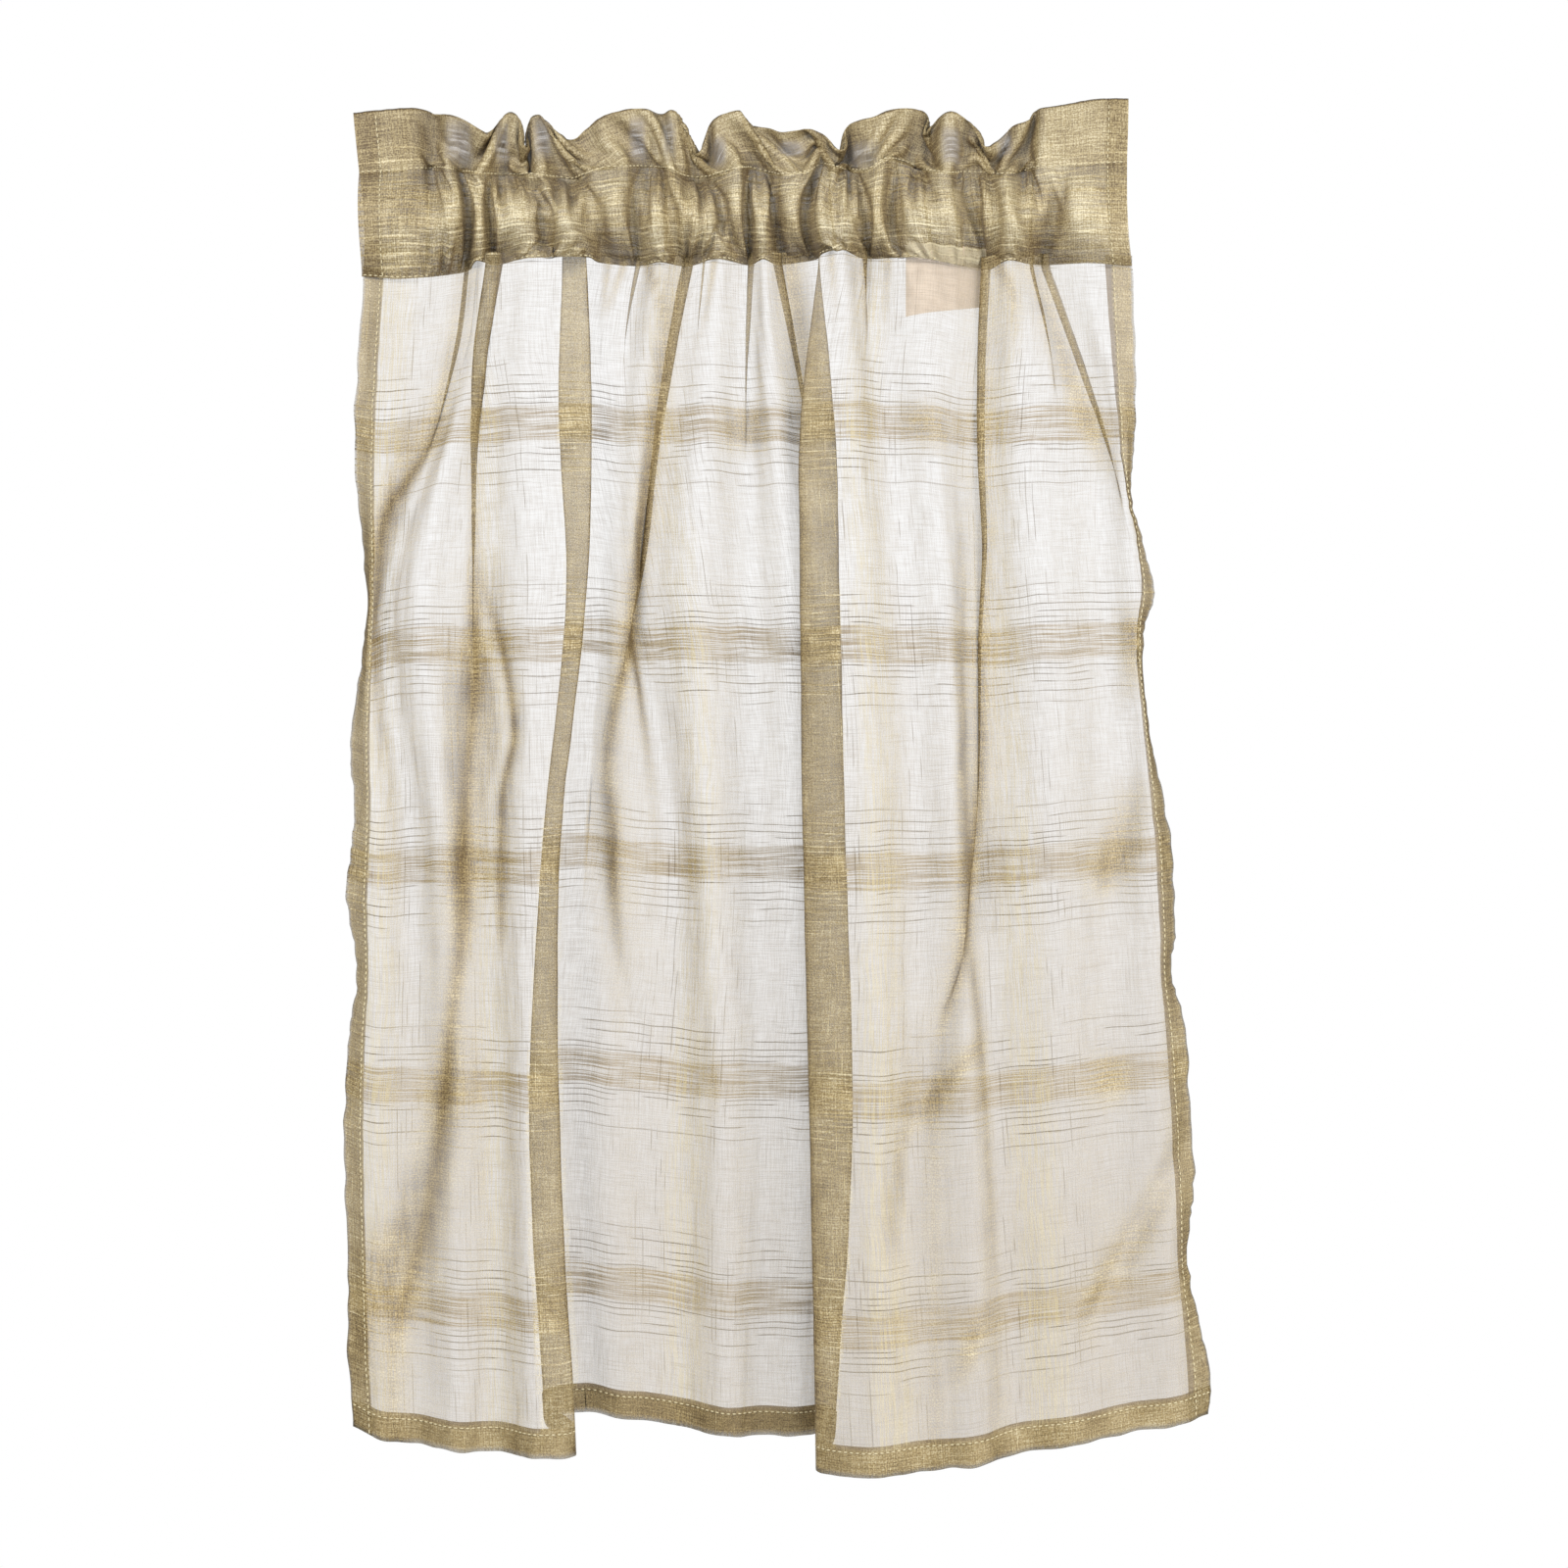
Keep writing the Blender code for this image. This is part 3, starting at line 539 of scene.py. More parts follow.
# One stitch: its length, the gap to the next, half its thickness, how far it stands out, a
# direction along which no two of its faces lie level, and how far above the lower end of the
# pocket the lower ones run
STITCH_LENGTH = 3.0
STITCH_GAP = 1.1
STITCH_RADIUS = 0.45
STITCH_LIFT = 0.5
STITCH_SORT_ALONG = Vector((1.0, 0.31, 0.107))
LOWER_STITCH_RISE = 1.2

# The camera that took the photograph, and the studio, in metres. Its lights: name, place, width
CAMERA_PLACE = (0.0288, -1.9, -0.4506)
CAMERA_LENS = 65.3
CAMERA_SENSOR = 36.0
STUDIO_CENTRE = (0.03, 0.0, -0.45)
WHITE = (1.0, 1.0, 1.0, 1.0)
FLOOR_HEIGHT = -1.25
FLOOR_RADIUS = 0.95
SURROUND_RADIUS = 8.0
KEY_LIGHT = ("key_light", (-1.5, -1.9, 0.9), 1.1)
FILL_LIGHT = ("fill_light", (1.8, -1.7, -0.2), 1.6)


class CurtainSizes(bpy.types.PropertyGroup):
    """The sizes that the cloth was cut and sewn to."""

    flat_width: bpy.props.FloatProperty(
        name="Flat width", description="Width of the cloth before it was gathered",
        default=0.75, unit="LENGTH")
    side_hem: bpy.props.FloatProperty(
        name="Side hem", description="Width of the turned side hems",
        default=0.015, unit="LENGTH")
    bottom_hem: bpy.props.FloatProperty(
        name="Bottom hem", description="Height of the turned bottom hem",
        default=0.0206, unit="LENGTH")
    ruffle: bpy.props.FloatProperty(
        name="Ruffle", description="Height of the ruffle above the upper stitch, laid flat",
        default=0.04, unit="LENGTH")
    pocket: bpy.props.FloatProperty(
        name="Pocket", description="Height of the rod pocket between its stitches, laid flat",
        default=0.064, unit="LENGTH")
    drop: bpy.props.FloatProperty(
        name="Drop", description="Length of the cloth below the lower stitch",
        default=0.79, unit="LENGTH")
    pocket_half_depth: bpy.props.FloatProperty(
        name="Pocket half depth", description="How far each wall of the pocket bulges",
        default=0.0155, unit="LENGTH")
    ply_gap: bpy.props.FloatProperty(
        name="Ply gap", description="Distance between two plies that are sewn together",
        default=0.0007, unit="LENGTH")


class CurtainColours(bpy.types.PropertyGroup):
    """The colours of the cloth, the tag and the studio, as sRGB hex values."""

    thread: bpy.props.StringProperty(
        name="Thread", description="Colour of the yarn in a single ply", default="#90806C")
    line: bpy.props.StringProperty(
        name="Line", description="Colour of the thick yarns in a single ply", default="#62574A")
    cream: bpy.props.StringProperty(
        name="Cream", description="Colour of the pale yarns in a single ply", default="#BCAE8A")
    gold: bpy.props.StringProperty(
        name="Gold", description="Colour of the yarn where plies lie on each other",
        default="#AC9768")
    deep_gold: bpy.props.StringProperty(
        name="Deep gold", description="Colour of the yarn in the doubled heading",
        default="#AC9A70")
    shade: bpy.props.StringProperty(
        name="Shade", description="Colour of the yarn deep in the gathers", default="#604C2B")
    slub: bpy.props.StringProperty(
        name="Slub", description="Colour of the thick pale slubs", default="#E3D8B6")
    tag: bpy.props.StringProperty(
        name="Tag", description="Colour of the blank tag", default="#E4D0BA")
    tag_grain: bpy.props.StringProperty(
        name="Tag grain", description="Colour between the yarns of the tag", default="#CFBCA2")
    stitch: bpy.props.StringProperty(
        name="Stitch", description="Colour of the sewing thread", default="#DDD2B0")
    stitch_grain: bpy.props.StringProperty(
        name="Stitch grain", description="Colour in the twist of the thread", default="#C9BB94")
    floor: bpy.props.StringProperty(
        name="Floor", description="Colour of the studio floor", default="#EFEEEB")


class CurtainStudio(bpy.types.PropertyGroup):
    """The light of the studio."""

    surround: bpy.props.FloatProperty(
        name="Surround", description="Strength of the white seen behind the cloth", default=1.0)
    ambient: bpy.props.FloatProperty(
        name="Ambient", description="Strength of the light from all round", default=0.28)
    key: bpy.props.FloatProperty(
        name="Key light", description="Power of the large light at the front left",
        default=59.0, unit="POWER")
    fill: bpy.props.FloatProperty(
        name="Fill light", description="Power of the light at the front right",
        default=59.0, unit="POWER")


def smooth(knots, values, at):
    """Read the smooth cubic curve through the values at the knots."""
    knots = np.asarray(knots, dtype=float)
    values = np.asarray(values, dtype=float)
    at = np.asarray(at, dtype=float)
    slopes = np.gradient(values, knots, axis=0)
    low = np.clip(np.searchsorted(knots, at, side="right") - 1, 0, len(knots) - 2)
    span = knots[low + 1] - knots[low]
    step = (at - knots[low]) / span
    if values.ndim > 1:
        span = span[..., None]
        step = step[..., None]
    square = step * step
    cube = square * step
    return (
        (2 * cube - 3 * square + 1) * values[low]
        + (cube - 2 * square + step) * span * slopes[low]
        + (3 * square - 2 * cube) * values[low + 1]
        + (cube - square) * span * slopes[low + 1]
    )


def along_route(route, heights, entry):
    """Read one entry of a route's places at some heights."""
    rising = np.array(sorted(route, key=lambda place: place[1]), dtype=float)
    at = np.clip(heights, rising[0, 1], rising[-1, 1])
    return smooth(rising[:, 1], rising[:, entry], at)


def running_length(line):
    """Length along a line of points, from its first point."""
    steps = np.linalg.norm(np.diff(line, axis=0), axis=1)
    return np.concatenate(([0.0], np.cumsum(steps)))


def read_line(line, length, at):
    """The places on a line of points at some lengths along it."""
    return np.column_stack([np.interp(at, length, line[:, axis]) for axis in range(3)])


def bell(offset, half_width):
    """A soft bell, 1 in its middle."""
    return np.exp(-((offset / half_width) ** 2))


def within(stretch, rows):
    """Which places lie in a stretch of cloth."""
    return (rows >= stretch[0]) & (rows <= stretch[1])


def bowed(first, middle, last, shares):
    """Lines from the first places to the last ones, through the middle ones half way."""
    return ((1 - shares) * (1 - 2 * shares) * first + 4 * shares * (1 - shares) * middle
            + shares * (2 * shares - 1) * last)


def laid_over(*shares):
    """What some shares from 0 to 1 come to when they are laid over each other."""
    return 1 - math.prod(1 - share for share in shares)


def fold_points(share):
    """The points of all fold lines at a share of the drop."""
    x = [smooth(LEVELS, row[1], share) for row in FOLDS]
    depth = [smooth(LEVELS, row[2], share) for row in FOLDS]
    height = [row[3] + (row[4] - row[3]) * share for row in FOLDS]
    return np.column_stack((x, depth, height))


def lap_pleats(line, rows):
    """Press the narrow pleats into a level line of the drop."""
    lapped = line.copy()
    for stretch, half_width, side, route in PLEATS:
        offset = line[:, 0] - along_route(route, line[:, 2], 0)
        lap = np.maximum(along_route(route, line[:, 2], 2), 0.0) * within(stretch, rows)
        lapped[:, 0] -= lap * offset * bell(offset, half_width)
        step = np.tanh(2 * offset / half_width) * bell(offset, PLEAT_FADE * half_width)
        lapped[:, 1] += side * PLEAT_DEPTH * step * np.clip(lap / FULL_LAP, 0.0, 1.0)
    return lapped


def fit_fullness(shape, span, flat_width):
    """The line that shape gives where its folds are deep enough to take up the flat width."""
    shallow, deep = span
    for _ in range(HALVINGS):
        fullness = (shallow + deep) / 2
        line, length = shape(fullness)
        if length[-1] > flat_width:
            deep = fullness
        else:
            shallow = fullness
    return line, length * flat_width / length[-1]


def level_line(share, flat_width):
    """A level line of the drop, with as much depth in its folds as the cloth has width."""
    points = fold_points(share)
    rows = np.linspace(0, len(points) - 1, (len(points) - 1) * CURVE_STEPS + 1)
    base = smooth(np.arange(len(points)), points, rows)

    def shape(fullness):
        line = lap_pleats(base * (1.0, fullness, 1.0), rows)
        return line, running_length(line[:, :2])

    line, length = fit_fullness(shape, DROP_FULLNESS, flat_width)
    return base, line, rows, length


def place_marks(base, length, hem):
    """Where the edges of the hems, the turns of the pleats and the S-shaped folds lie in a line."""
    marks = [0.0, np.interp(hem, length, np.arange(len(length)))]
    folds = list(FOLD_MARKS)
    for stretch, half_width, _, route in PLEATS:
        while folds and folds[0][-1] <= stretch[0]:
            marks += [row * CURVE_STEPS for row in folds.pop(0)]
        inside = slice(stretch[0] * CURVE_STEPS, stretch[1] * CURVE_STEPS + 1)
        offset = base[inside, 0] - along_route(route, base[inside, 2], 0)
        for mark in PLEAT_MARKS:
            step = np.interp(mark * half_width, offset, np.arange(len(offset)))
            marks.append(inside.start + step)
    marks.append(np.interp(length[-1] - hem, length, np.arange(len(length))))
    marks.append(len(length) - 1.0)
    return np.maximum.accumulate(np.array(marks) + np.arange(len(marks)) * 1e-3)


def columns_between(flat_width, hem):
    """How many mesh columns lie between the marks: the same at every height of the drop."""
    gaps = []
    for share in np.linspace(0, 1, 5):
        base, _, _, length = level_line(share, flat_width)
        marks = place_marks(base, length, hem)
        gaps.append(np.diff(np.interp(marks, np.arange(len(length)), length)))
    wide = np.mean(gaps, axis=0)
    return np.maximum(np.round(wide / COLUMN_SPACING), FEWEST_COLUMNS).astype(int)


def drop_line(share, flat_width, hem, columns):
    """One mesh row of the drop: its points, their rows in FOLDS and their flat places."""
    base, line, rows, length = level_line(share, flat_width)
    numbers = np.arange(len(length))
    marks = np.interp(place_marks(base, length, hem), numbers, length)
    places = [np.linspace(marks[i], marks[i + 1], count, endpoint=False)
              for i, count in enumerate(columns)]
    flat = np.concatenate((*places, marks[-1:]))
    at = np.interp(flat, length, numbers)
    return read_line(line, numbers, at), np.interp(at, numbers, rows), flat


def crease_cloth(line, rows):
    """Push the soft diagonal creases into a level line."""
    for stretch, route, depth, half_width in CREASES:
        top, bottom = route[0][1], route[-1][1]
        across = along_route(route, line[:, 2], 0)
        ends = np.minimum(top - line[:, 2], line[:, 2] - bottom) + CREASE_FADE
        fade = np.clip(ends / CREASE_FADE, 0.0, 1.0) * within(stretch, rows)
        line[:, 1] += depth * fade * bell(line[:, 0] - across, half_width)


def shade_cloth(line, rows):
    """How close the cloth of a level line looks beside its folds, where painted shade also goes."""
    open_share = np.ones(len(line))
    for stretch, half_width, route in SHADES:
        offset = line[:, 0] - along_route(route, line[:, 2], 0)
        dense = np.clip(along_route(route, line[:, 2], 2), 0.0, 1.0) * within(stretch, rows)
        open_share *= 1 - dense * bell(offset, half_width)
    start, reach, left, middle, right = LOWER_SHADE
    lower = np.clip((start - line[:, 2]) / reach, 0.0, 1.0)
    most = np.interp(rows, (MIDDLE_STRETCH[0] - 1, *MIDDLE_STRETCH, RIGHT_STRETCH[0]),
                     (left, middle, middle, right))
    return np.stack((1 - open_share, lower * most), axis=1)


def stray_edges(line, flat):
    """Let the side hems stray sideways, as their stitching pulls them."""
    for table, distance in ((LEFT_STRAY, flat), (RIGHT_STRAY, flat[-1] - flat)):
        heights = [place[0] for place in table][::-1]
        shift = smooth(heights, [place[1] for place in table][::-1], line[:, 2])
        shift += EDGE_WAVE * noise.noise((line[0, 2] / EDGE_WAVE_LENGTH, shift[0], 0.0))
        line[:, 0] += shift * np.clip(1.0 - distance / STRAY_REACH, 0.0, 1.0) ** 2


def back_normals(surface):
    """Unit normals of a surface grid, towards the back."""
    down = np.gradient(surface, axis=0)
    across = np.gradient(surface, axis=1)
    normals = np.cross(across, down)
    return normals / np.maximum(np.linalg.norm(normals, axis=2, keepdims=True), 1e-9)


def crinkle(surface, flat, amount):
    """Move a surface in and out by small uneven crinkles that run down the cloth."""
    normals = back_normals(surface)
    share, narrower, shorter = FINE_CRINKLE
    depth = np.array([[noise.noise((s, t, 0.0))
                       + share * noise.noise((s * narrower, t * shorter, 7.0))
                       for s, t in line] for line in flat / (CRINKLE_WIDTH, CRINKLE_LENGTH)])
    return surface + normals * (depth * CRINKLE_DEPTH * amount)[..., None]


@functools.lru_cache
def drop_surface(flat_width, drop, hem):
    """The drop as one grid, from inside the pocket down to the hem's fold, and its flat places."""
    columns = columns_between(flat_width, hem)
    lines, places, shades = [], [], []
    for row in range(DROP_ROWS + 1):
        line, rows, flat = drop_line(row / DROP_ROWS, flat_width, hem, columns)
        shades.append(shade_cloth(line, rows))
        crease_cloth(line, rows)
        stray_edges(line, flat)
        lines.append(line)
        places.append(np.column_stack((flat, np.full(len(flat), drop * row / DROP_ROWS))))
    for rise in SEAM_ALLOWANCE[::-1]:
        lines.insert(0, lines[-1 - DROP_ROWS] + (0.0, 0.0, rise))
        places.insert(0, places[-1 - DROP_ROWS] - (0.0, rise))
        shades.insert(0, shades[0])
    lines = np.array(lines)
    flat = np.array(places)
    lines = crinkle(lines, flat, 1.0)
    uneven = np.array([noise.noise((s / FOOT_WAVE_LENGTH, 3.0, 0.0)) for s in flat[-1, :, 0]])
    lines[-3:, :, 2] += FOOT_WAVE * uneven * np.array(FOOT_WAVE_ROWS)[:, None]
    return lines, flat, columns, np.array(shades)


def drop_of(sizes):
    """The drop at the sizes that the user sees."""
    return drop_surface(sizes.flat_width / MM, sizes.drop / MM, sizes.side_hem / MM)


def backed_cloth(surface):
    """Which places of the cloth run back behind themselves, and which have such a ply behind."""
    across = np.gradient(surface, axis=1)
    returns = across[..., 0] < 0.0
    backed = returns.astype(float)
    for line, back, flags in zip(surface, returns, backed):
        ends = np.flatnonzero(np.diff(np.concatenate(([0], back.astype(int), [0]))))
        for first, last in zip(ends[::2], ends[1::2]):
            run = line[max(first - 1, 0):last + 1, 0]
            if run.max() - run.min() > STRIP_INSET:
                flags[(line[:, 0] > run.min() + STRIP_INSET)
                      & (line[:, 0] < run.max() - STRIP_INSET)] = 1.0
    return returns, backed


def crowding(surface):
    """How crowded the threads look where the cloth turns away, for an eye in the room. The same
    share also draws painted shade there.
    """
    facing = np.abs(back_normals(surface)[..., 1])
    return 1 - OPENNESS ** (1 / np.clip(facing, LEAST_FACING, 1.0) - 1)


def fold_over(grid, flat, side, foot, gap):
    """Turn the hems of a grid to its back: side columns at both ends, and foot rows below."""
    normals = back_normals(grid)
    rows, width = grid.shape[:2]
    columns = np.concatenate((np.arange(side, 0, -1), np.arange(width),
                              width - 2 - np.arange(side)))
    layer = np.concatenate((np.ones(side), np.zeros(width), np.ones(side)))
    lines = np.concatenate((np.arange(rows), rows - 2 - np.arange(foot)))
    under = np.concatenate((np.zeros(rows), np.ones(foot)))
    pick = np.ix_(lines, columns)
    away = (layer[None, :] + under[:, None]) * gap
    turned = grid[pick] + normals[pick] * away[..., None]
    place = flat[pick].copy()
    place[:, :side, 0] *= -1
    place[:, side + width:, 0] = 2 * flat[0, -1, 0] - place[:, side + width:, 0]
    place[rows:, :, 1] = 2 * flat[-1, 0, 1] - place[rows:, :, 1]
    return turned, place, layer, under, pick


def hex_colour(code):
    """An sRGB hex value as linear red, green, blue and alpha."""
    values = [int(code[i:i + 2], 16) / 255 for i in (1, 3, 5)]
    linear = [v / 12.92 if v <= 0.04045 else ((v + 0.055) / 1.055) ** 2.4 for v in values]
    return (*linear, 1.0)


def add_node(tree, kind, inputs=(), **settings):
    """Add one node with its settings.

    Its inputs, by name or in their order, are linked to a socket or to another node's first
    output, or are set to a value.
    """
    node = tree.nodes.new(kind)
    for name, value in settings.items():
        setattr(node, name, value)
    for socket, source in inputs.items() if isinstance(inputs, dict) else enumerate(inputs):
        if isinstance(source, bpy.types.Node):
            source = source.outputs[0]
        if isinstance(source, bpy.types.NodeSocket):
            tree.links.new(source, node.inputs[socket])
        else:
            node.inputs[socket].default_value = source
    return node


def grid_object(name, surface, flat, **facts):
    """A grid shaped to a surface. Its flat places are its UV map, and the facts its attributes.

    One more attribute is how far each place is from the nearest upright band of the plaid.
    """
    facts["band"] = np.min([np.abs(flat[..., 0] - x) for x in WARP_BANDS], axis=0) * MM
    bpy.ops.object.select_all(action="DESELECT")
    rows, columns = surface.shape[:2]
    bpy.ops.mesh.primitive_grid_add(x_subdivisions=columns - 1, y_subdivisions=rows - 1,
                                    size=1.0, calc_uvs=True)
    piece = bpy.context.object
    piece.name = piece.data.name = name
    mesh = piece.data
    mesh.vertices.foreach_set("co", (surface[::-1] * MM).reshape(-1).astype(np.float32))
    places = (flat[::-1] * MM).reshape(-1, 2)
    corners = np.empty(len(mesh.loops), dtype=np.int32)
    mesh.loops.foreach_get("vertex_index", corners)
    uv = mesh.uv_layers[0]
    uv.name = "flat"
    uv.data.foreach_set("uv", places[corners].reshape(-1).astype(np.float32))
    for label, values in facts.items():
        layer = mesh.attributes.new(label, "FLOAT", "POINT")
        layer.data.foreach_set("value", values[::-1].reshape(-1).astype(np.float32))
    mesh.update()
    mesh.shade_smooth()
    return piece


def new_material(name, finish):
    """A new material, its nodes and its shader, which gets the inputs of its finish."""
    material = bpy.data.materials.new(name)
    material.use_nodes = True
    shader = material.node_tree.nodes["Principled BSDF"]
    for socket, value in finish.items():
        shader.inputs[socket].default_value = value
    return material, material.node_tree, shader


def uneven_yarn(tree, flat, across, along, seed, *levels):
    """Uneven threads: noise drawn out along them, faded between two of its levels."""
    stretched = add_node(tree, "ShaderNodeMapping", {
        "Vector": flat, "Scale": (across, along, 1.0), "Location": (seed, seed * SEED_SLANT, 0.0)})
    spots = add_node(tree, NOISE, {"Vector": stretched, **YARN_NOISE}, **FLAT_NOISE)
    return add_node(tree, RANGE, (spots, *levels), **SOFT_EDGE)


def band_lines(tree, distance, first, growth, reach, half_line):
    """Single thick threads beside a band, further apart the further out they lie."""
    node = functools.partial(add_node, tree)
    ratio = node(MATH, (distance, first), operation="DIVIDE")
    count = node(MATH, (ratio, growth), operation="LOGARITHM")
    fold = node(MATH, (count, 0.5), operation="PINGPONG")
    scaled = node(MATH, (fold, distance), operation="MULTIPLY")
    gap = node(MATH, (scaled, math.log(growth)), operation="MULTIPLY")
    line = node(RANGE, (gap, *(half_line * share for share in LINE_FADE), 1.0, 0.0), **SOFT_EDGE)
    near = node(RANGE, (distance, *(first * share for share in LINES_BEGIN), 0.0, 1.0))
    far = node(RANGE, (distance, *(reach * share for share in LINES_END), 1.0, 0.0))
    both = node(MATH, (near, far), operation="MULTIPLY")
    return node(MATH, (line, both), operation="MULTIPLY")


def windowpane_sheer(name, colours, gold_yarn, open_cover, line_width):
    """Sheer slub-yarn voile woven with a windowpane plaid.

    The eye sees pale gaps between uneven threads, a level band of close threads every 147 mm,
    upright bands of cream yarn, and single thick threads on either side of each band. The
    threads are 0.3 mm in the cloth and are drawn about three times as coarse, so that they show.
    """
    material, tree, shader = new_material(name, VOILE_FINISH)
    node = functools.partial(add_node, tree)
    uv = node("ShaderNodeUVMap", uv_map="flat")
    cover, backed, crowd, band, striped = (
        node("ShaderNodeAttribute", attribute_name=fact).outputs["Fac"]
        for fact in ("cover", "backed", "crowd", "band", "striped"))

    # The threads don't run quite straight
    drift = node(NOISE, {"Vector": uv, **DRIFT_NOISE}, **FLAT_NOISE)
    centred = node("ShaderNodeVectorMath", (drift.outputs["Color"], (0.5, 0.5, 0.5)),
                   operation="SUBTRACT")
    shift = node("ShaderNodeVectorMath", (centred, DRIFT), operation="MULTIPLY")
    flat = node("ShaderNodeVectorMath", (uv, shift), operation="ADD")
    place = node("ShaderNodeSeparateXYZ", (flat,))
    yarn = {kind: uneven_yarn(tree, flat, *facts) for kind, facts in YARNS.items()}
    patch = node(NOISE, {"Vector": uv, **PATCH_NOISE}, **FLAT_NOISE)
    fine = node(NOISE, {"Vector": uv, **FLECK_NOISE}, **FLAT_NOISE)
    fleck = node(RANGE, (fine, *FLECK_LEVELS), **SOFT_EDGE)

    # The bands of the plaid, and the single thick threads beside them
    from_band = node(MATH, (place.outputs["Y"], LEVEL_BAND_START), operation="SUBTRACT")
    level_far = node(MATH, (from_band, LEVEL_BAND_REPEAT / 2), operation="PINGPONG")
    level_near = node(RANGE, (level_far, *LEVEL_BAND_EDGE, 1.0, 0.0), **SOFT_EDGE)
    worn = node(RANGE, (patch, *BAND_WEAR), **SOFT_EDGE)
    level_band = node(MATH, (level_near, worn), operation="MULTIPLY")
    wander = node(MATH, (patch, 2 * BAND_WANDER, -BAND_WANDER), operation="MULTIPLY_ADD")
    wandered = node(MATH, (band, wander), operation="ADD")
    upright_far = node(MATH, (wandered,), operation="ABSOLUTE")
    upright_band = node(RANGE, (upright_far, *UPRIGHT_BAND_EDGE, 1.0, 0.0), **SOFT_EDGE)
    cream = node(MATH, (upright_band, yarn["cream"]), operation="MULTIPLY")
    lines = node(MATH, (band_lines(tree, level_far, *LEVEL_LINES, line_width),
                        yarn["level line"]), operation="MULTIPLY")
    uprights = node(MATH, (band_lines(tree, band, *UPRIGHT_LINES, UPRIGHT_LINE),
                           yarn["upright line"]), operation="MULTIPLY")
    slubs = node(MATH, (yarn["warp slub"], yarn["weft slub"]), operation="MAXIMUM")
    stripes = node(MATH, (striped, yarn["stripe"]), operation="MULTIPLY")
    both_lines = node(MATH, (lines, uprights), operation="MAXIMUM")
    both_slubs = node(MATH, (slubs, stripes), operation="MAXIMUM")
    strong = node(MATH, (both_lines, both_slubs), operation="MAXIMUM")

    # How much of each place the threads fill
    threads = open_cover
    streaked = node(MATH, (yarn["streak"], *BAND_FILL), operation="MULTIPLY_ADD")
    for part, share in ((yarn["warp"], WARP_FILL), (yarn["weft"], WEFT_FILL),
                        (level_band, streaked), (cream, CREAM_FILL), (strong, THICK_FILL)):
        threads = node(MATH, (part, share, threads), operation="MULTIPLY_ADD")
    between = node(MATH, (1.0, threads), operation="SUBTRACT", use_clamp=True)
    uncovered = node(MATH, (1.0, cover), operation="SUBTRACT")
    gaps = node(MATH, (between, uncovered), operation="MULTIPLY")
    solid = node(MATH, (1.0, gaps), operation="SUBTRACT", use_clamp=True)
    tree.links.new(solid.outputs[0], shader.inputs["Alpha"])

    # A single ply shows its yarn as grey lines against the light. Plies that lie on each other show
    # it golden, with pale slubs, and darker with painted shade where they turn away from the room,
    # beside the folds, in hollows and in deep gathers.
    weave = 0.0
    for part, share in zip((yarn["weft"], yarn["warp"], fleck, strong), WEAVE_SHARES):
        weave = node(MATH, (part, share, weave), operation="MULTIPLY_ADD")
    tone = node(MATH, (weave, TONE_START), operation="ADD")
    for part, share in zip((yarn["streak"], patch, crowd), TONE_SHARES):
        tone = node(MATH, (part, share, tone), operation="MULTIPLY_ADD")
    gold = node("ShaderNodeValToRGB", (tone,))
    gold.color_ramp.elements[0].color = hex_colour(colours.shade)
    gold.color_ramp.elements[1].color = hex_colour(colours.slub)
    gold.color_ramp.elements.new(0.5).color = hex_colour(gold_yarn)
    band_pale = node(MATH, (level_band, BAND_PALE), operation="MULTIPLY")
    pale = node(MATH, (cream, band_pale), operation="MAXIMUM", use_clamp=True)
    base = hex_colour(colours.thread)
    for share, colour in ((pale, hex_colour(colours.cream)), (strong, hex_colour(colours.line)),
                          (backed, gold)):
        base = node("ShaderNodeMix", {0: share, 6: base, 7: colour}, data_type="RGBA").outputs[2]
    tree.links.new(base, shader.inputs["Base Color"])

    relief = node("ShaderNodeBump", {**WEAVE_RELIEF, "Height": weave})
    tree.links.new(relief.outputs[0], shader.inputs["Normal"])
    return material


def plain_cloth(name, colour, grain_colour, spacing, solidity):
    """Plain closely woven tape or spun thread: its fine weave or twist shows as a faint grain."""
    material, tree, shader = new_material(name, {"Roughness": 0.7, "Alpha": solidity})
    place = add_node(tree, "ShaderNodeTexCoord").outputs["Object"]
    grain = add_node(tree, NOISE, {"Vector": place, "Scale": 1.0 / spacing, "Detail": 2.0})
    tone = add_node(tree, "ShaderNodeMix", {
        0: grain, 6: hex_colour(grain_colour), 7: hex_colour(colour)}, data_type="RGBA")
    tree.links.new(tone.outputs[2], shader.inputs["Base Color"])
    relief = add_node(tree, "ShaderNodeBump", {**GRAIN_RELIEF, "Height": grain})
    tree.links.new(relief.outputs[0], shader.inputs["Normal"])
    return material


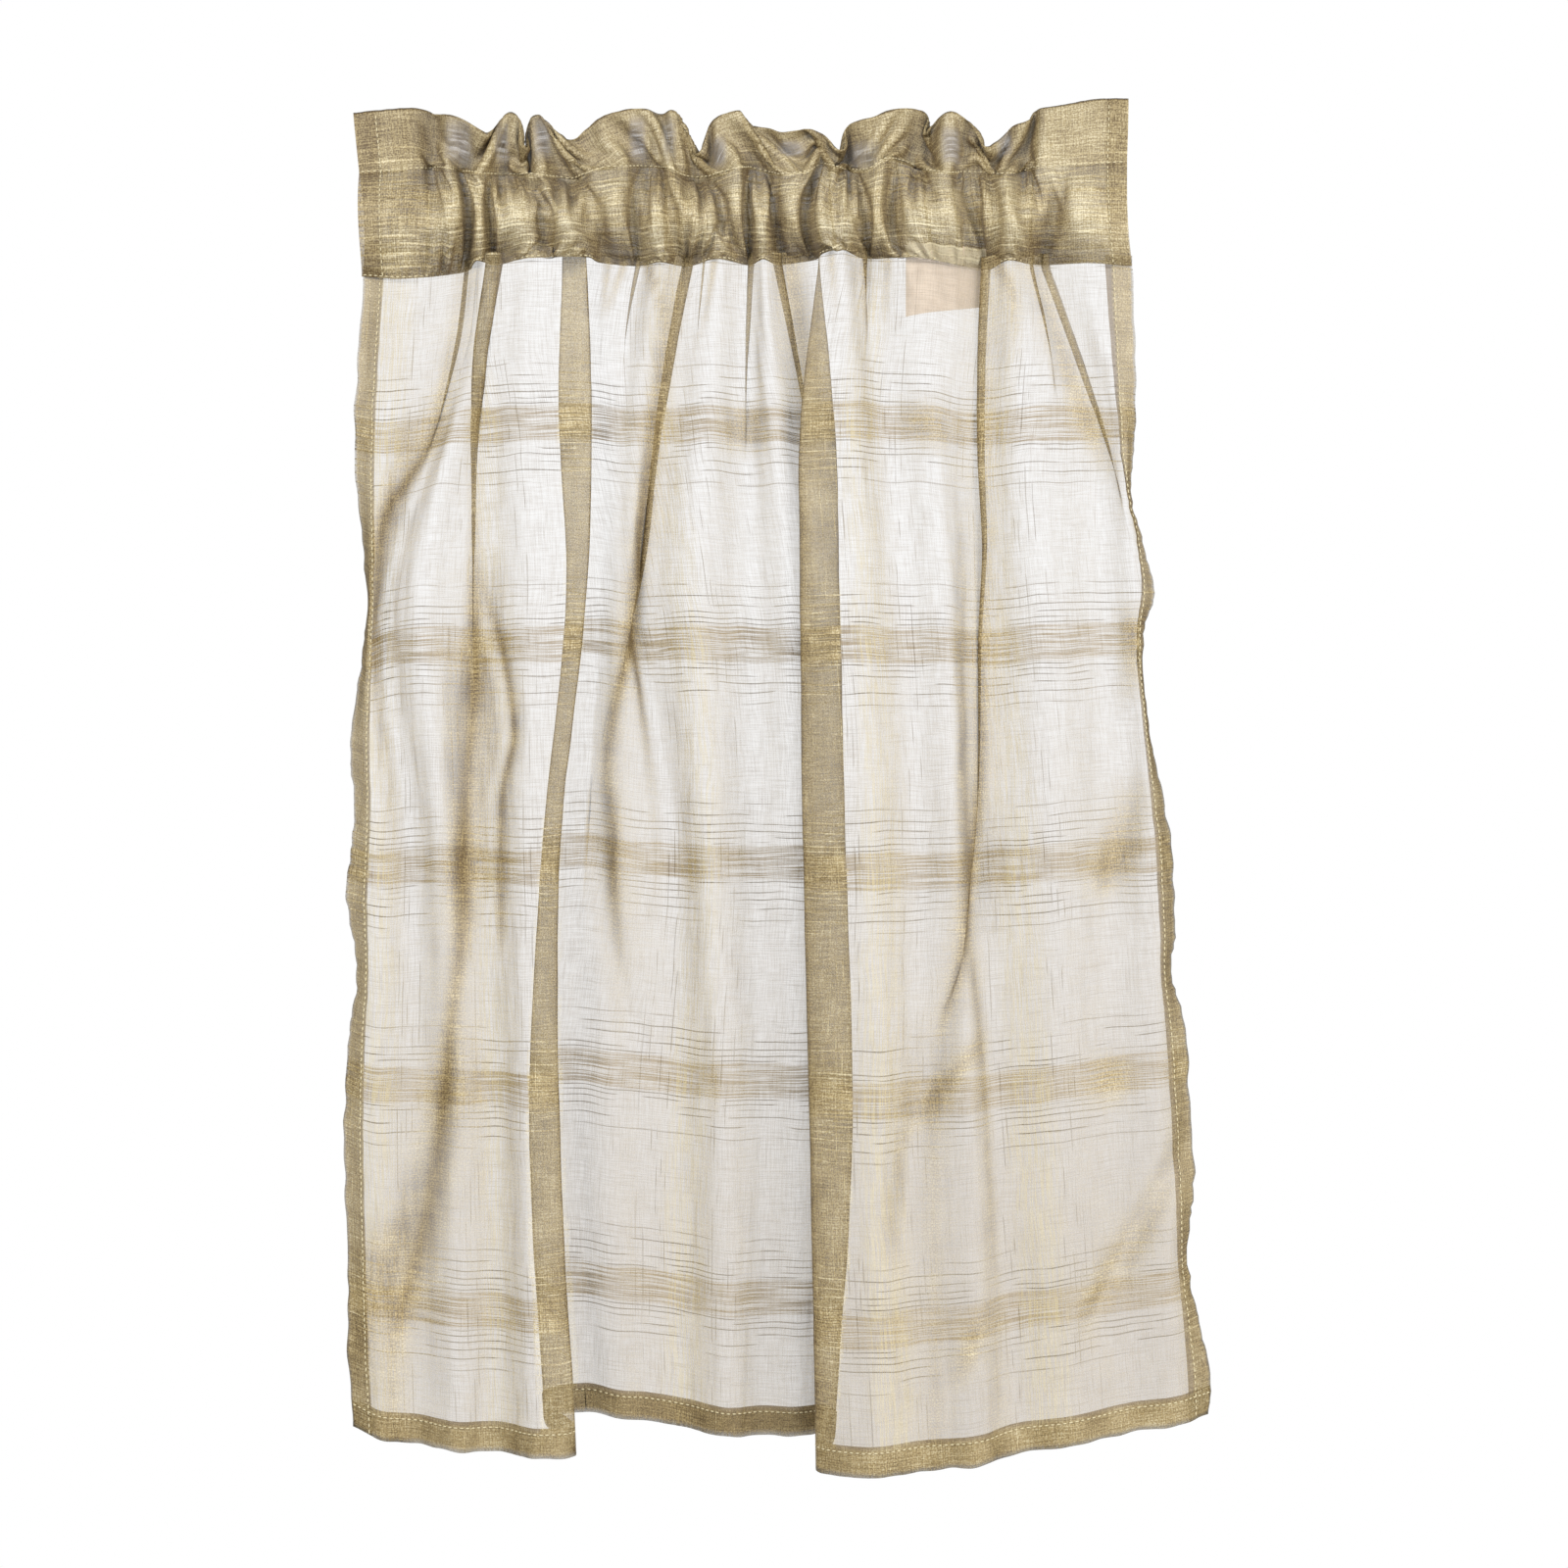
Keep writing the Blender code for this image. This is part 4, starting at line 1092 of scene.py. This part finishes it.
def drop_looks(grid, flat, columns, foot, shades):
    """How dense, how golden and how dark each place of the drop is drawn; much of the dark is
    painted shade.
    """
    returns, backed = backed_cloth(grid)
    crowd = crowding(grid)
    cover = laid_over(crowd, shades[..., 0], shades[..., 1])
    cover[returns] = (RETURN_COVER * (1 - RETURN_FADE * shades[..., 1]))[returns]
    backed = np.clip(backed + SHADE_GOLD * (shades[..., 0] + crowd)
                     + FOOT_GOLD * shades[..., 1], 0.0, 1.0)
    # Painted shade beside the folds
    crowd = laid_over(crowd, SHADE_DARK * shades[..., 0])
    in_hem = np.zeros(grid.shape[:2])
    in_hem[:, :columns[0]] = in_hem[:, -columns[-1]:] = in_hem[-foot:] = 1.0
    backed = np.maximum(backed, in_hem)
    # Painted shade on the bottom hem behind the two deep folds
    middle, reach, dark = FOOT_PAINTED_SHADE
    behind = dark * np.exp(-((flat[-foot:, :, 0] - middle) / reach) ** 6)
    crowd[-foot:] = np.maximum(crowd[-foot:], behind)
    crowd[:, [0, -1]] = np.maximum(crowd[:, [0, -1]], RIM_DARK)
    return cover, backed, crowd


class CURTAIN_OT_drape_drop(bpy.types.Operator):
    """Drape the cloth below the seam, with its hems turned to the back"""

    bl_idname = "curtain.drape_drop"
    bl_label = "Drape the drop"

    def execute(self, context):
        sizes = context.scene.curtain_sizes
        grid, flat, columns, shades = drop_of(sizes)
        foot = round(sizes.bottom_hem / sizes.drop * DROP_ROWS)
        cover, backed, crowd = drop_looks(grid, flat, columns, foot, shades)
        turned, place, layer, under, pick = fold_over(
            grid, flat, columns[0], foot, sizes.ply_gap / MM)
        cover = laid_over(cover[pick], HEM_COVER * layer[None, :], FOOT_COVER * under[:, None])
        cloth = grid_object("drop_cloth", turned, place, cover=cover, backed=backed[pick],
                            crowd=crowd[pick])
        colours = context.scene.curtain_colours
        material = windowpane_sheer("sheer windowpane voile", colours, colours.gold, *SINGLE_PLY)
        cloth.data.materials.append(material)
        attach(cloth, BODY)
        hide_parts("panel")
        return {"FINISHED"}


def seam_line(upper):
    """The lower stitch under the upper one. The two S-shaped folds start below it."""
    points = np.delete(fold_points(0.0), TUCKED_ROWS, axis=0)
    rows = np.linspace(0, len(points) - 1, (len(points) - 1) * CURVE_STEPS + 1)
    line = smooth(np.arange(len(points)), points, rows)
    share = (upper[:, 0] - upper[0, 0]) / (upper[-1, 0] - upper[0, 0])
    x = line[0, 0] + (line[-1, 0] - line[0, 0]) * np.maximum.accumulate(share)
    return np.column_stack((x, np.interp(x, line[:, 0], line[:, 1]),
                            np.interp(x, line[:, 0], line[:, 2])))


def along_sight(points):
    """Move places that the camera sees in the plane of the pocket to their own depths."""
    eye = np.array(CAMERA_PLACE) / MM
    near = (points[..., 1:2] - eye[1]) / -eye[1]
    moved = eye + (points - eye) * near
    moved[..., 1] = points[..., 1]
    return moved


def sewn_line(points, flat_width, offset):
    """The smooth line through some places that the camera sees, as long as the cloth is wide."""
    count = len(points)
    rows = np.linspace(0, count - 1, (count - 1) * CURVE_STEPS + 1)

    def shape(fullness):
        line = smooth(np.arange(count), points * (1.0, fullness, 1.0), rows)
        line = along_sight(line + (0.0, offset, 0.0))
        return line, running_length(line)

    return fit_fullness(shape, HEADING_FULLNESS, flat_width)


def ruffle_lines(flat_width):
    """The upper stitch and the top edge above it, at even lengths across the cloth."""
    lines = []
    for folds in ([row[1:] for row in STITCH_FOLDS], EDGE_FOLDS):
        line, length = sewn_line(np.array(folds, dtype=float), flat_width, 0.0)
        lines.append(read_line(line, length, np.linspace(0, flat_width, COLUMNS + 1)))
    return lines


def ruffle_guess(foot, top, height):
    """Where the ruffle roughly lies, from the upper stitch up to its top edge."""
    half_chord = np.linalg.norm(top - foot, axis=1) / 2
    buckle = np.sqrt(np.maximum((height / 2) ** 2 - half_chord ** 2, 0.0))[:, None]
    flops = (top[:, 1] - foot[:, 1] < -FLOP_LEAN)[:, None]
    middle = (top + foot) / 2 + buckle * np.where(flops, FLOP_ARCH, DIP_SAG)
    return bowed(foot, middle, top, np.linspace(0, 1, RUFFLE_ROWS + 1)[:, None, None])


def wall_guess(upper, middle, lower, across):
    """Where one wall of the pocket roughly lies, from the lower stitch up to the upper one."""
    shares = np.linspace(0, 1, POCKET_ROWS + 1)[:, None, None]
    wall = bowed(lower, middle, upper, shares)
    ripple = np.array([noise.noise((s / GUESS_RIPPLE_WIDTH, 0.0, 0.0)) for s in across])
    wall[..., 1] += GUESS_RIPPLE * np.sin(math.pi * shares[..., 0]) * ripple
    return wall


def crease_wall(wall):
    """Push the listed creases and hollows into the pocket's front wall."""
    eye = np.array(CAMERA_PLACE) / MM
    seen = eye + (wall - eye) * (eye[1] / (eye[1] - wall[..., 1:2]))
    for route, depth, half_width in POCKET_CREASES:
        top, bottom = route[0][1], route[-1][1]
        middle = along_route(route, seen[..., 2], 0)
        ends = np.minimum(top - seen[..., 2], seen[..., 2] - bottom) + WALL_CREASE_FADE
        fade = np.clip(ends / WALL_CREASE_FADE, 0.0, 1.0)
        wall[..., 1] += depth * fade * bell(seen[..., 0] - middle, half_width)
    for x, z, half_width, half_height, depth in HOLLOWS:
        far = ((seen[..., 0] - x) / half_width) ** 2 + ((seen[..., 2] - z) / half_height) ** 2
        wall[..., 1] += depth * np.exp(-far)


def neighbours(rows, columns):
    """Sets of neighbouring places along the threads and on the bias, none with a shared place."""
    def halves(count):
        for start in (0, 1):
            last = start + (count - start) // 2 * 2
            yield slice(start, last, 2), slice(start + 1, last + 1, 2)

    all_rows = slice(0, rows)
    for first, second in halves(columns):
        yield (all_rows, first), (all_rows, second), WARP_STIFFNESS
    for first, second in halves(rows):
        yield (first, slice(0, columns)), (second, slice(0, columns)), WARP_STIFFNESS
        yield (first, slice(0, -1)), (second, slice(1, None)), BIAS_STIFFNESS
        yield (first, slice(1, None)), (second, slice(0, -1)), BIAS_STIFFNESS


def relax(sheet, across, down, free, pull, steps):
    """Let a sheet find its folds: its threads take back their lengths, as its gathers hold it.

    free is 0 where a stitch holds the sheet, and pull draws it back to where it started.
    """
    flat = np.stack(np.meshgrid(across, down), axis=2)
    free = free[..., None]
    pull = pull[..., None] * free
    goal = sheet.copy()
    before = sheet.copy()
    sets = [(first, second, stiffness,
             np.linalg.norm(flat[first] - flat[second], axis=2, keepdims=True))
            for first, second, stiffness in neighbours(*sheet.shape[:2])]
    share = np.linspace(0, 1, len(sheet))[:, None, None]
    stiff = BEND_STIFFNESS[0] + (BEND_STIFFNESS[1] - BEND_STIFFNESS[0]) * np.sin(math.pi * share)
    for _ in range(steps):
        sheet, before = sheet + (sheet - before) * SWAY * free, sheet
        sheet += (goal - sheet) * pull
        for _ in range(SPRING_PASSES):
            for first, second, stiffness, rest in sets:
                apart = sheet[second] - sheet[first]
                length = np.linalg.norm(apart, axis=2, keepdims=True)
                loose = np.maximum(free[first] + free[second], 1e-6)
                apart *= stiffness * (length - rest) / np.maximum(length, 1e-6) / loose
                sheet[first] += apart * free[first]
                sheet[second] -= apart * free[second]
            bend = np.zeros_like(sheet)
            for here, one, other in ((np.s_[:, 1:-1], np.s_[:, :-2], np.s_[:, 2:]),
                                     (np.s_[1:-1], np.s_[:-2], np.s_[2:])):
                off = (sheet[one] + sheet[other]) / 2 - sheet[here]
                bend[here] += off * 0.5
                bend[one] -= off * 0.25
                bend[other] -= off * 0.25
            sheet += bend * stiff * free
    return sheet


@functools.lru_cache
def heading_surface(flat_width, pocket, ruffle, half_depth):
    """The heading as one grid, up the front, over the top edge and down the back."""
    across = np.linspace(0, flat_width, COLUMNS + 1)
    upper, edge = ruffle_lines(flat_width)
    lower = seam_line(upper)
    climb = np.linspace(0, pocket, POCKET_ROWS + 1)
    rise = np.linspace(0, ruffle, RUFFLE_ROWS + 1)
    free = np.ones((POCKET_ROWS + 1, COLUMNS + 1))
    free[[0, -1]] = 0.0
    folds, length = sewn_line(np.array([(row[1], row[2], WALL_HEIGHT) for row in WALL_FOLDS],
                                       dtype=float), flat_width, -half_depth)
    front = wall_guess(upper, read_line(folds, length, across), lower, across)
    crease_wall(front)
    front = relax(front, across, climb, free, np.full(free.shape, WALL_PULL), WALL_STEPS)
    middle = (upper + lower) / 2 * (1.0, BACK_WALL_FOLLOWS, 1.0) + (0.0, half_depth, 0.0)
    back = wall_guess(upper, middle, lower, across)
    back = relax(back, across, climb, free, np.full(free.shape, WALL_PULL), WALL_STEPS)
    free = np.ones((RUFFLE_ROWS + 1, COLUMNS + 1))
    free[0] = 0.0
    pull = np.full(free.shape, RUFFLE_PULL)
    pull[-1] = EDGE_PULL
    middle = relax(ruffle_guess(upper, edge, ruffle), across, rise, free, pull, RUFFLE_STEPS)
    normals = back_normals(middle[::-1])[::-1]
    share = rise / ruffle
    puff = PUFF * np.sqrt(np.clip(1 - share ** 4, 0, 1)) * np.sqrt(share + STITCHED_PUFF)
    near = middle - normals * puff[:, None, None]
    far = middle + normals * puff[:, None, None]
    sheet = np.concatenate((front[:-1], near, far[-2::-1], back[-2::-1]))
    up = np.concatenate((climb[:-1], pocket + rise, pocket + 2 * ruffle - rise[-2::-1],
                         pocket + 2 * ruffle + climb[1:]))
    flat = np.stack(np.meshgrid(across, -up), axis=2)
    return crinkle(sheet, flat, HEADING_CRINKLE), flat


def heading_of(sizes):
    """The heading at the sizes that the user sees."""
    return heading_surface(sizes.flat_width / MM, sizes.pocket / MM, sizes.ruffle / MM,
                           sizes.pocket_half_depth / MM)


def heading_looks(sheet, flat, sizes):
    """How dense, how golden, how dark and how striped each place of the heading is drawn; much of
    the dark is painted shade, and some is painted light.
    """
    across, hem = flat[0, :, 0], sizes.side_hem / MM
    hemmed = (across < hem) | (across > sizes.flat_width / MM - hem)
    front = slice(0, POCKET_ROWS)
    ruffle = slice(POCKET_ROWS, POCKET_ROWS + 2 * RUFFLE_ROWS)
    near_ply = slice(POCKET_ROWS, POCKET_ROWS + RUFFLE_ROWS)
    crowd = crowding(sheet)
    cover = laid_over(crowd, HEADING_COVER, SIDE_COVER * hemmed)
    cover[ruffle] = laid_over(cover[ruffle], RUFFLE_COVER)
    backed = np.ones(cover.shape)
    striped = np.zeros(cover.shape)
    crowd[:, hemmed] = laid_over(crowd[:, hemmed], SIDE_DARK)
    # Painted shade on the gathers that lie deep, painted light on those that stand forward
    for rows in (front, near_ply):
        sunk = sheet[rows, :, 1] - sheet[rows, :, 1].mean()
        crowd[rows] += np.clip(PAINTED_DEPTH_SHADING * sunk, -MOST_PAINTED_DEPTH_SHADING, MOST_PAINTED_DEPTH_SHADING)
    # Painted shade on the flat left end
    dark, reach = END_PAINTED_SHADE
    crowd += dark * np.exp(-(across / reach) ** 4)
    crowd[ruffle] += RUFFLE_DARK
    for x, z, half_width, half_height in SHEER_LOOPS:
        loop = np.exp(-((sheet[ruffle, :, 0] - x) / half_width) ** 4
                      - ((sheet[ruffle, :, 2] - z) / half_height) ** 4)
        cover[ruffle] *= 1 - SHEER_LOOP_OPEN * loop
        backed[ruffle] *= 1 - SHEER_LOOP_GREY * loop
        striped[ruffle] += loop
    # Painted shade in the hollows of the front wall, which also look denser there
    for x, z, half_width, half_height, _ in HOLLOWS:
        hollow = np.exp(-((sheet[front, :, 0] - x) / half_width) ** 2
                        - ((sheet[front, :, 2] - z) / half_height) ** 2)
        cover[front] = laid_over(cover[front], HOLLOW_PAINTED_SHADE * hollow)
        crowd[front] = laid_over(crowd[front], HOLLOW_PAINTED_SHADE * hollow)
    # Painted light over the tag: the wall is drawn paler there
    low = sheet[:TAG_WALL_ROWS[0], :, 0]
    over_tag = np.nonzero((low > TAG_LEFT) & (low < TAG_RIGHT))
    cover[over_tag], backed[over_tag], crowd[over_tag] = PAINTED_LIGHT_OVER_TAG
    return {"cover": cover, "backed": backed, "crowd": crowd, "striped": striped}


class CURTAIN_OT_gather_heading(bpy.types.Operator):
    """Turn the top of the cloth over and gather it into the pocket and the ruffle"""

    bl_idname = "curtain.gather_heading"
    bl_label = "Gather the heading"

    def execute(self, context):
        sizes = context.scene.curtain_sizes
        sheet, flat = heading_of(sizes)
        cloth = grid_object("heading_cloth", sheet, flat, **heading_looks(sheet, flat, sizes))
        colours = context.scene.curtain_colours
        material = windowpane_sheer("doubled windowpane voile", colours, colours.deep_gold,
                                    *DOUBLED_PLY)
        cloth.data.materials.append(material)
        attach(cloth, BODY)
        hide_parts("heading")
        return {"FINISHED"}


def level_places(line, across, clearance):
    """Places at even steps across, just behind the cloth of a line that runs to the right."""
    x = np.maximum.accumulate(line[:, 0])
    keep = np.concatenate(([True], np.diff(x) > 1e-6))
    depth = np.interp(across, x[keep], line[keep, 1]) + clearance
    return np.column_stack((across, depth, np.interp(across, x[keep], line[keep, 2])))


class CURTAIN_OT_hang_tag(bpy.types.Operator):
    """Hang the blank tag behind the sheer, with its top sewn into the seam"""

    bl_idname = "curtain.hang_tag"
    bl_label = "Hang the tag"

    def execute(self, context):
        sizes = context.scene.curtain_sizes
        drop = drop_of(sizes)[0]
        wall = heading_of(sizes)[0]
        across = np.linspace(TAG_LEFT, TAG_RIGHT, TAG_COLUMNS + 1)
        lines = [level_places(wall[row], across, TAG_WALL_CLEARANCE) for row in TAG_WALL_ROWS]
        below = drop[len(SEAM_ALLOWANCE):][:TAG_DROP_ROWS]
        hung = np.array([level_places(line, across, TAG_CLEARANCE) for line in below])
        seam = hung[0]
        side = (across - TAG_LEFT) / (TAG_RIGHT - TAG_LEFT)
        low = TAG_LOW_LEFT + (TAG_LOW_RIGHT - TAG_LOW_LEFT) * side
        for step in np.linspace(0.0, 1.0, TAG_ROWS + 1):
            height = seam[:, 2] + (low - seam[:, 2]) * step
            depth = [np.interp(height[column], hung[::-1, column, 2], hung[::-1, column, 1])
                     for column in range(len(across))]
            lines.append(np.column_stack((seam[:, 0], depth, height)))
        surface = np.array(lines)
        flat = np.stack(np.meshgrid(across - TAG_LEFT, running_length(surface[:, 0])), axis=2)
        tag = grid_object("tag", surface, flat)
        colours = context.scene.curtain_colours
        tape = plain_cloth("woven satin tape", colours.tag, colours.tag_grain, *TAPE)
        tag.data.materials.append(tape)
        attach(tag, BODY)
        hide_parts("label")
        return {"FINISHED"}


def stitches_along(line, front):
    """Where single stitches lie along a line: their middles and their directions."""
    length = running_length(line)
    starts = np.arange(STITCH_GAP, length[-1] - STITCH_LENGTH, STITCH_LENGTH + STITCH_GAP)
    first, last = (read_line(line, length, starts + more) for more in (0.0, STITCH_LENGTH))
    return list(zip((first + last) / 2 + front * STITCH_LIFT, last - first))


def sort_faces(mesh):
    """Put a stitch's faces in one fixed order: a new sphere has them in another order each run."""
    shape = bmesh.new()
    shape.from_mesh(mesh)
    shape.faces.sort(key=lambda face: face.calc_center_median() @ STITCH_SORT_ALONG)
    shape.to_mesh(mesh)
    shape.free()


class CURTAIN_OT_sew_stitches(bpy.types.Operator):
    """Sew the stitch lines of the heading and of the hems, each stitch a copy of one"""

    bl_idname = "curtain.sew_stitches"
    bl_label = "Sew the stitches"

    def execute(self, context):
        sizes = context.scene.curtain_sizes
        grid, _, columns, _ = drop_of(sizes)
        sheet, laid = heading_of(sizes)
        foot = round(sizes.bottom_hem / sizes.drop * DROP_ROWS)
        inner = (columns[0] - 1, len(grid[0]) - columns[-1])
        sides = np.abs(laid[0, :, 0] - sizes.side_hem / MM).argmin()
        room = np.array((0.0, -1.0, 0.0))
        stitches = []
        for line in (sheet[POCKET_ROWS], sheet[0] + (0.0, 0.0, LOWER_STITCH_RISE), grid[-foot],
                     grid[:, inner[0]], grid[:, inner[1]],
                     sheet[:POCKET_ROWS + RUFFLE_ROWS, sides],
                     sheet[:POCKET_ROWS + RUFFLE_ROWS, -sides]):
            stitches += stitches_along(line, room)
        bpy.ops.object.select_all(action="DESELECT")
        bpy.ops.mesh.primitive_uv_sphere_add(segments=6, ring_count=4, radius=1.0)
        template = context.object
        sort_faces(template.data)
        colours = context.scene.curtain_colours
        thread = plain_cloth("spun sewing thread", colours.stitch, colours.stitch_grain, *THREAD)
        template.data.materials.append(thread)
        copies = []
        for middle, along in stitches:
            copy = bpy.data.objects.new("stitch", template.data.copy())
            turn = Vector(along).to_track_quat("X", "Z").to_matrix()
            size = Matrix.Diagonal((STITCH_LENGTH / 2, STITCH_RADIUS, STITCH_RADIUS))
            copy.data.transform(((turn @ size) * MM).to_4x4())
            copy.data.transform(Matrix.Translation(Vector(middle) * MM))
            context.collection.objects.link(copy)
            copies.append(copy)
        bpy.data.objects.remove(template)
        for copy in copies:
            copy.select_set(True)
        context.view_layer.objects.active = copies[0]
        bpy.ops.object.join()
        thread_piece = context.object
        thread_piece.name = thread_piece.data.name = "stitches"
        thread_piece.data.shade_smooth()
        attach(thread_piece, BODY)
        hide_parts("heading", "panel")
        return {"FINISHED"}


class CURTAIN_OT_light_studio(bpy.types.Operator):
    """Set up the pale floor, the white surround, the soft lights and the camera"""

    bl_idname = "curtain.light_studio"
    bl_label = "Light the studio"

    def execute(self, context):
        scene = context.scene
        studio, colours = scene.curtain_studio, scene.curtain_colours
        scene.view_settings.view_transform = "Standard"
        world = bpy.data.worlds.new("soft studio light")
        world.use_nodes = True
        sky = world.node_tree.nodes["Background"]
        sky.inputs["Color"].default_value = WHITE
        sky.inputs["Strength"].default_value = studio.ambient
        scene.world = world

        bpy.ops.object.select_all(action="DESELECT")
        bpy.ops.mesh.primitive_circle_add(vertices=96, radius=FLOOR_RADIUS, fill_type="NGON",
                                          location=(0.0, 0.0, FLOOR_HEIGHT))
        floor = context.object
        floor.name = "studio_floor"
        # Matt paint gives the eye an even pale ground without shine
        paint, _, _ = new_material("matt floor paint", {
            "Base Color": hex_colour(colours.floor), "Roughness": 0.9})
        floor.data.materials.append(paint)

        bpy.ops.mesh.primitive_uv_sphere_add(segments=48, ring_count=24, radius=SURROUND_RADIUS,
                                             location=(0.0, 0.0, STUDIO_CENTRE[2]))
        surround = context.object
        surround.name = "white_surround"
        glow = bpy.data.materials.new("even white backdrop")
        glow.use_nodes = True
        glow.node_tree.nodes.clear()
        light = add_node(glow.node_tree, "ShaderNodeEmission", {
            "Color": WHITE, "Strength": studio.surround})
        add_node(glow.node_tree, "ShaderNodeOutputMaterial", {"Surface": light})
        surround.data.materials.append(glow)
        # The surround is only the white behind the cloth: the lights and the world light it
        surround.visible_diffuse = False
        surround.visible_glossy = False
        surround.visible_transmission = False
        surround.visible_volume_scatter = False
        surround.visible_shadow = False

        centre = Vector(STUDIO_CENTRE)
        for (name, place, size), power in ((KEY_LIGHT, studio.key), (FILL_LIGHT, studio.fill)):
            lamp = bpy.data.lights.new(name, "AREA")
            lamp.size = size
            lamp.energy = power
            holder = bpy.data.objects.new(name, lamp)
            holder.location = place
            holder.rotation_euler = (centre - Vector(place)).to_track_quat("-Z", "Y").to_euler()
            scene.collection.objects.link(holder)

        bpy.ops.object.camera_add(location=CAMERA_PLACE, rotation=(math.pi / 2, 0.0, 0.0))
        camera = context.object
        camera.name = "photo_camera"
        camera.data.sensor_width = CAMERA_SENSOR
        camera.data.lens = CAMERA_LENS
        scene.camera = camera
        return {"FINISHED"}


class CURTAIN_PT_panel(bpy.types.Panel):
    """Lists the sizes, the colours and the steps of the curtain"""

    bl_idname = "CURTAIN_PT_panel"
    bl_label = "Gathered half curtain"
    bl_space_type = "VIEW_3D"
    bl_region_type = "UI"
    bl_category = "Curtain"

    def draw(self, context):
        scene = context.scene
        for group in (scene.curtain_sizes, scene.curtain_colours, scene.curtain_studio):
            box = self.layout.box()
            for name in group.__annotations__:
                box.prop(group, name)
        for operator in STEPS:
            self.layout.operator(operator.bl_idname)


STEPS = (
    CURTAIN_OT_light_studio,
    CURTAIN_OT_drape_drop,
    CURTAIN_OT_gather_heading,
    CURTAIN_OT_hang_tag,
    CURTAIN_OT_sew_stitches,
)
CLASSES = (CurtainSizes, CurtainColours, CurtainStudio, *STEPS, CURTAIN_PT_panel)


def register():
    """Register the classes and hang their settings on the scene."""
    for cls in CLASSES:
        bpy.utils.register_class(cls)
    bpy.types.Scene.curtain_sizes = bpy.props.PointerProperty(type=CurtainSizes)
    bpy.types.Scene.curtain_colours = bpy.props.PointerProperty(type=CurtainColours)
    bpy.types.Scene.curtain_studio = bpy.props.PointerProperty(type=CurtainStudio)


def unregister():
    """Take the settings and the classes away again."""
    del bpy.types.Scene.curtain_studio
    del bpy.types.Scene.curtain_colours
    del bpy.types.Scene.curtain_sizes
    for cls in reversed(CLASSES):
        bpy.utils.unregister_class(cls)


def main():
    """Hang the curtain, one step after another."""
    register()
    bpy.ops.curtain.light_studio()
    bpy.ops.curtain.drape_drop()
    bpy.ops.curtain.gather_heading()
    bpy.ops.curtain.hang_tag()
    bpy.ops.curtain.sew_stitches()


if __name__ == "__main__":
    main()
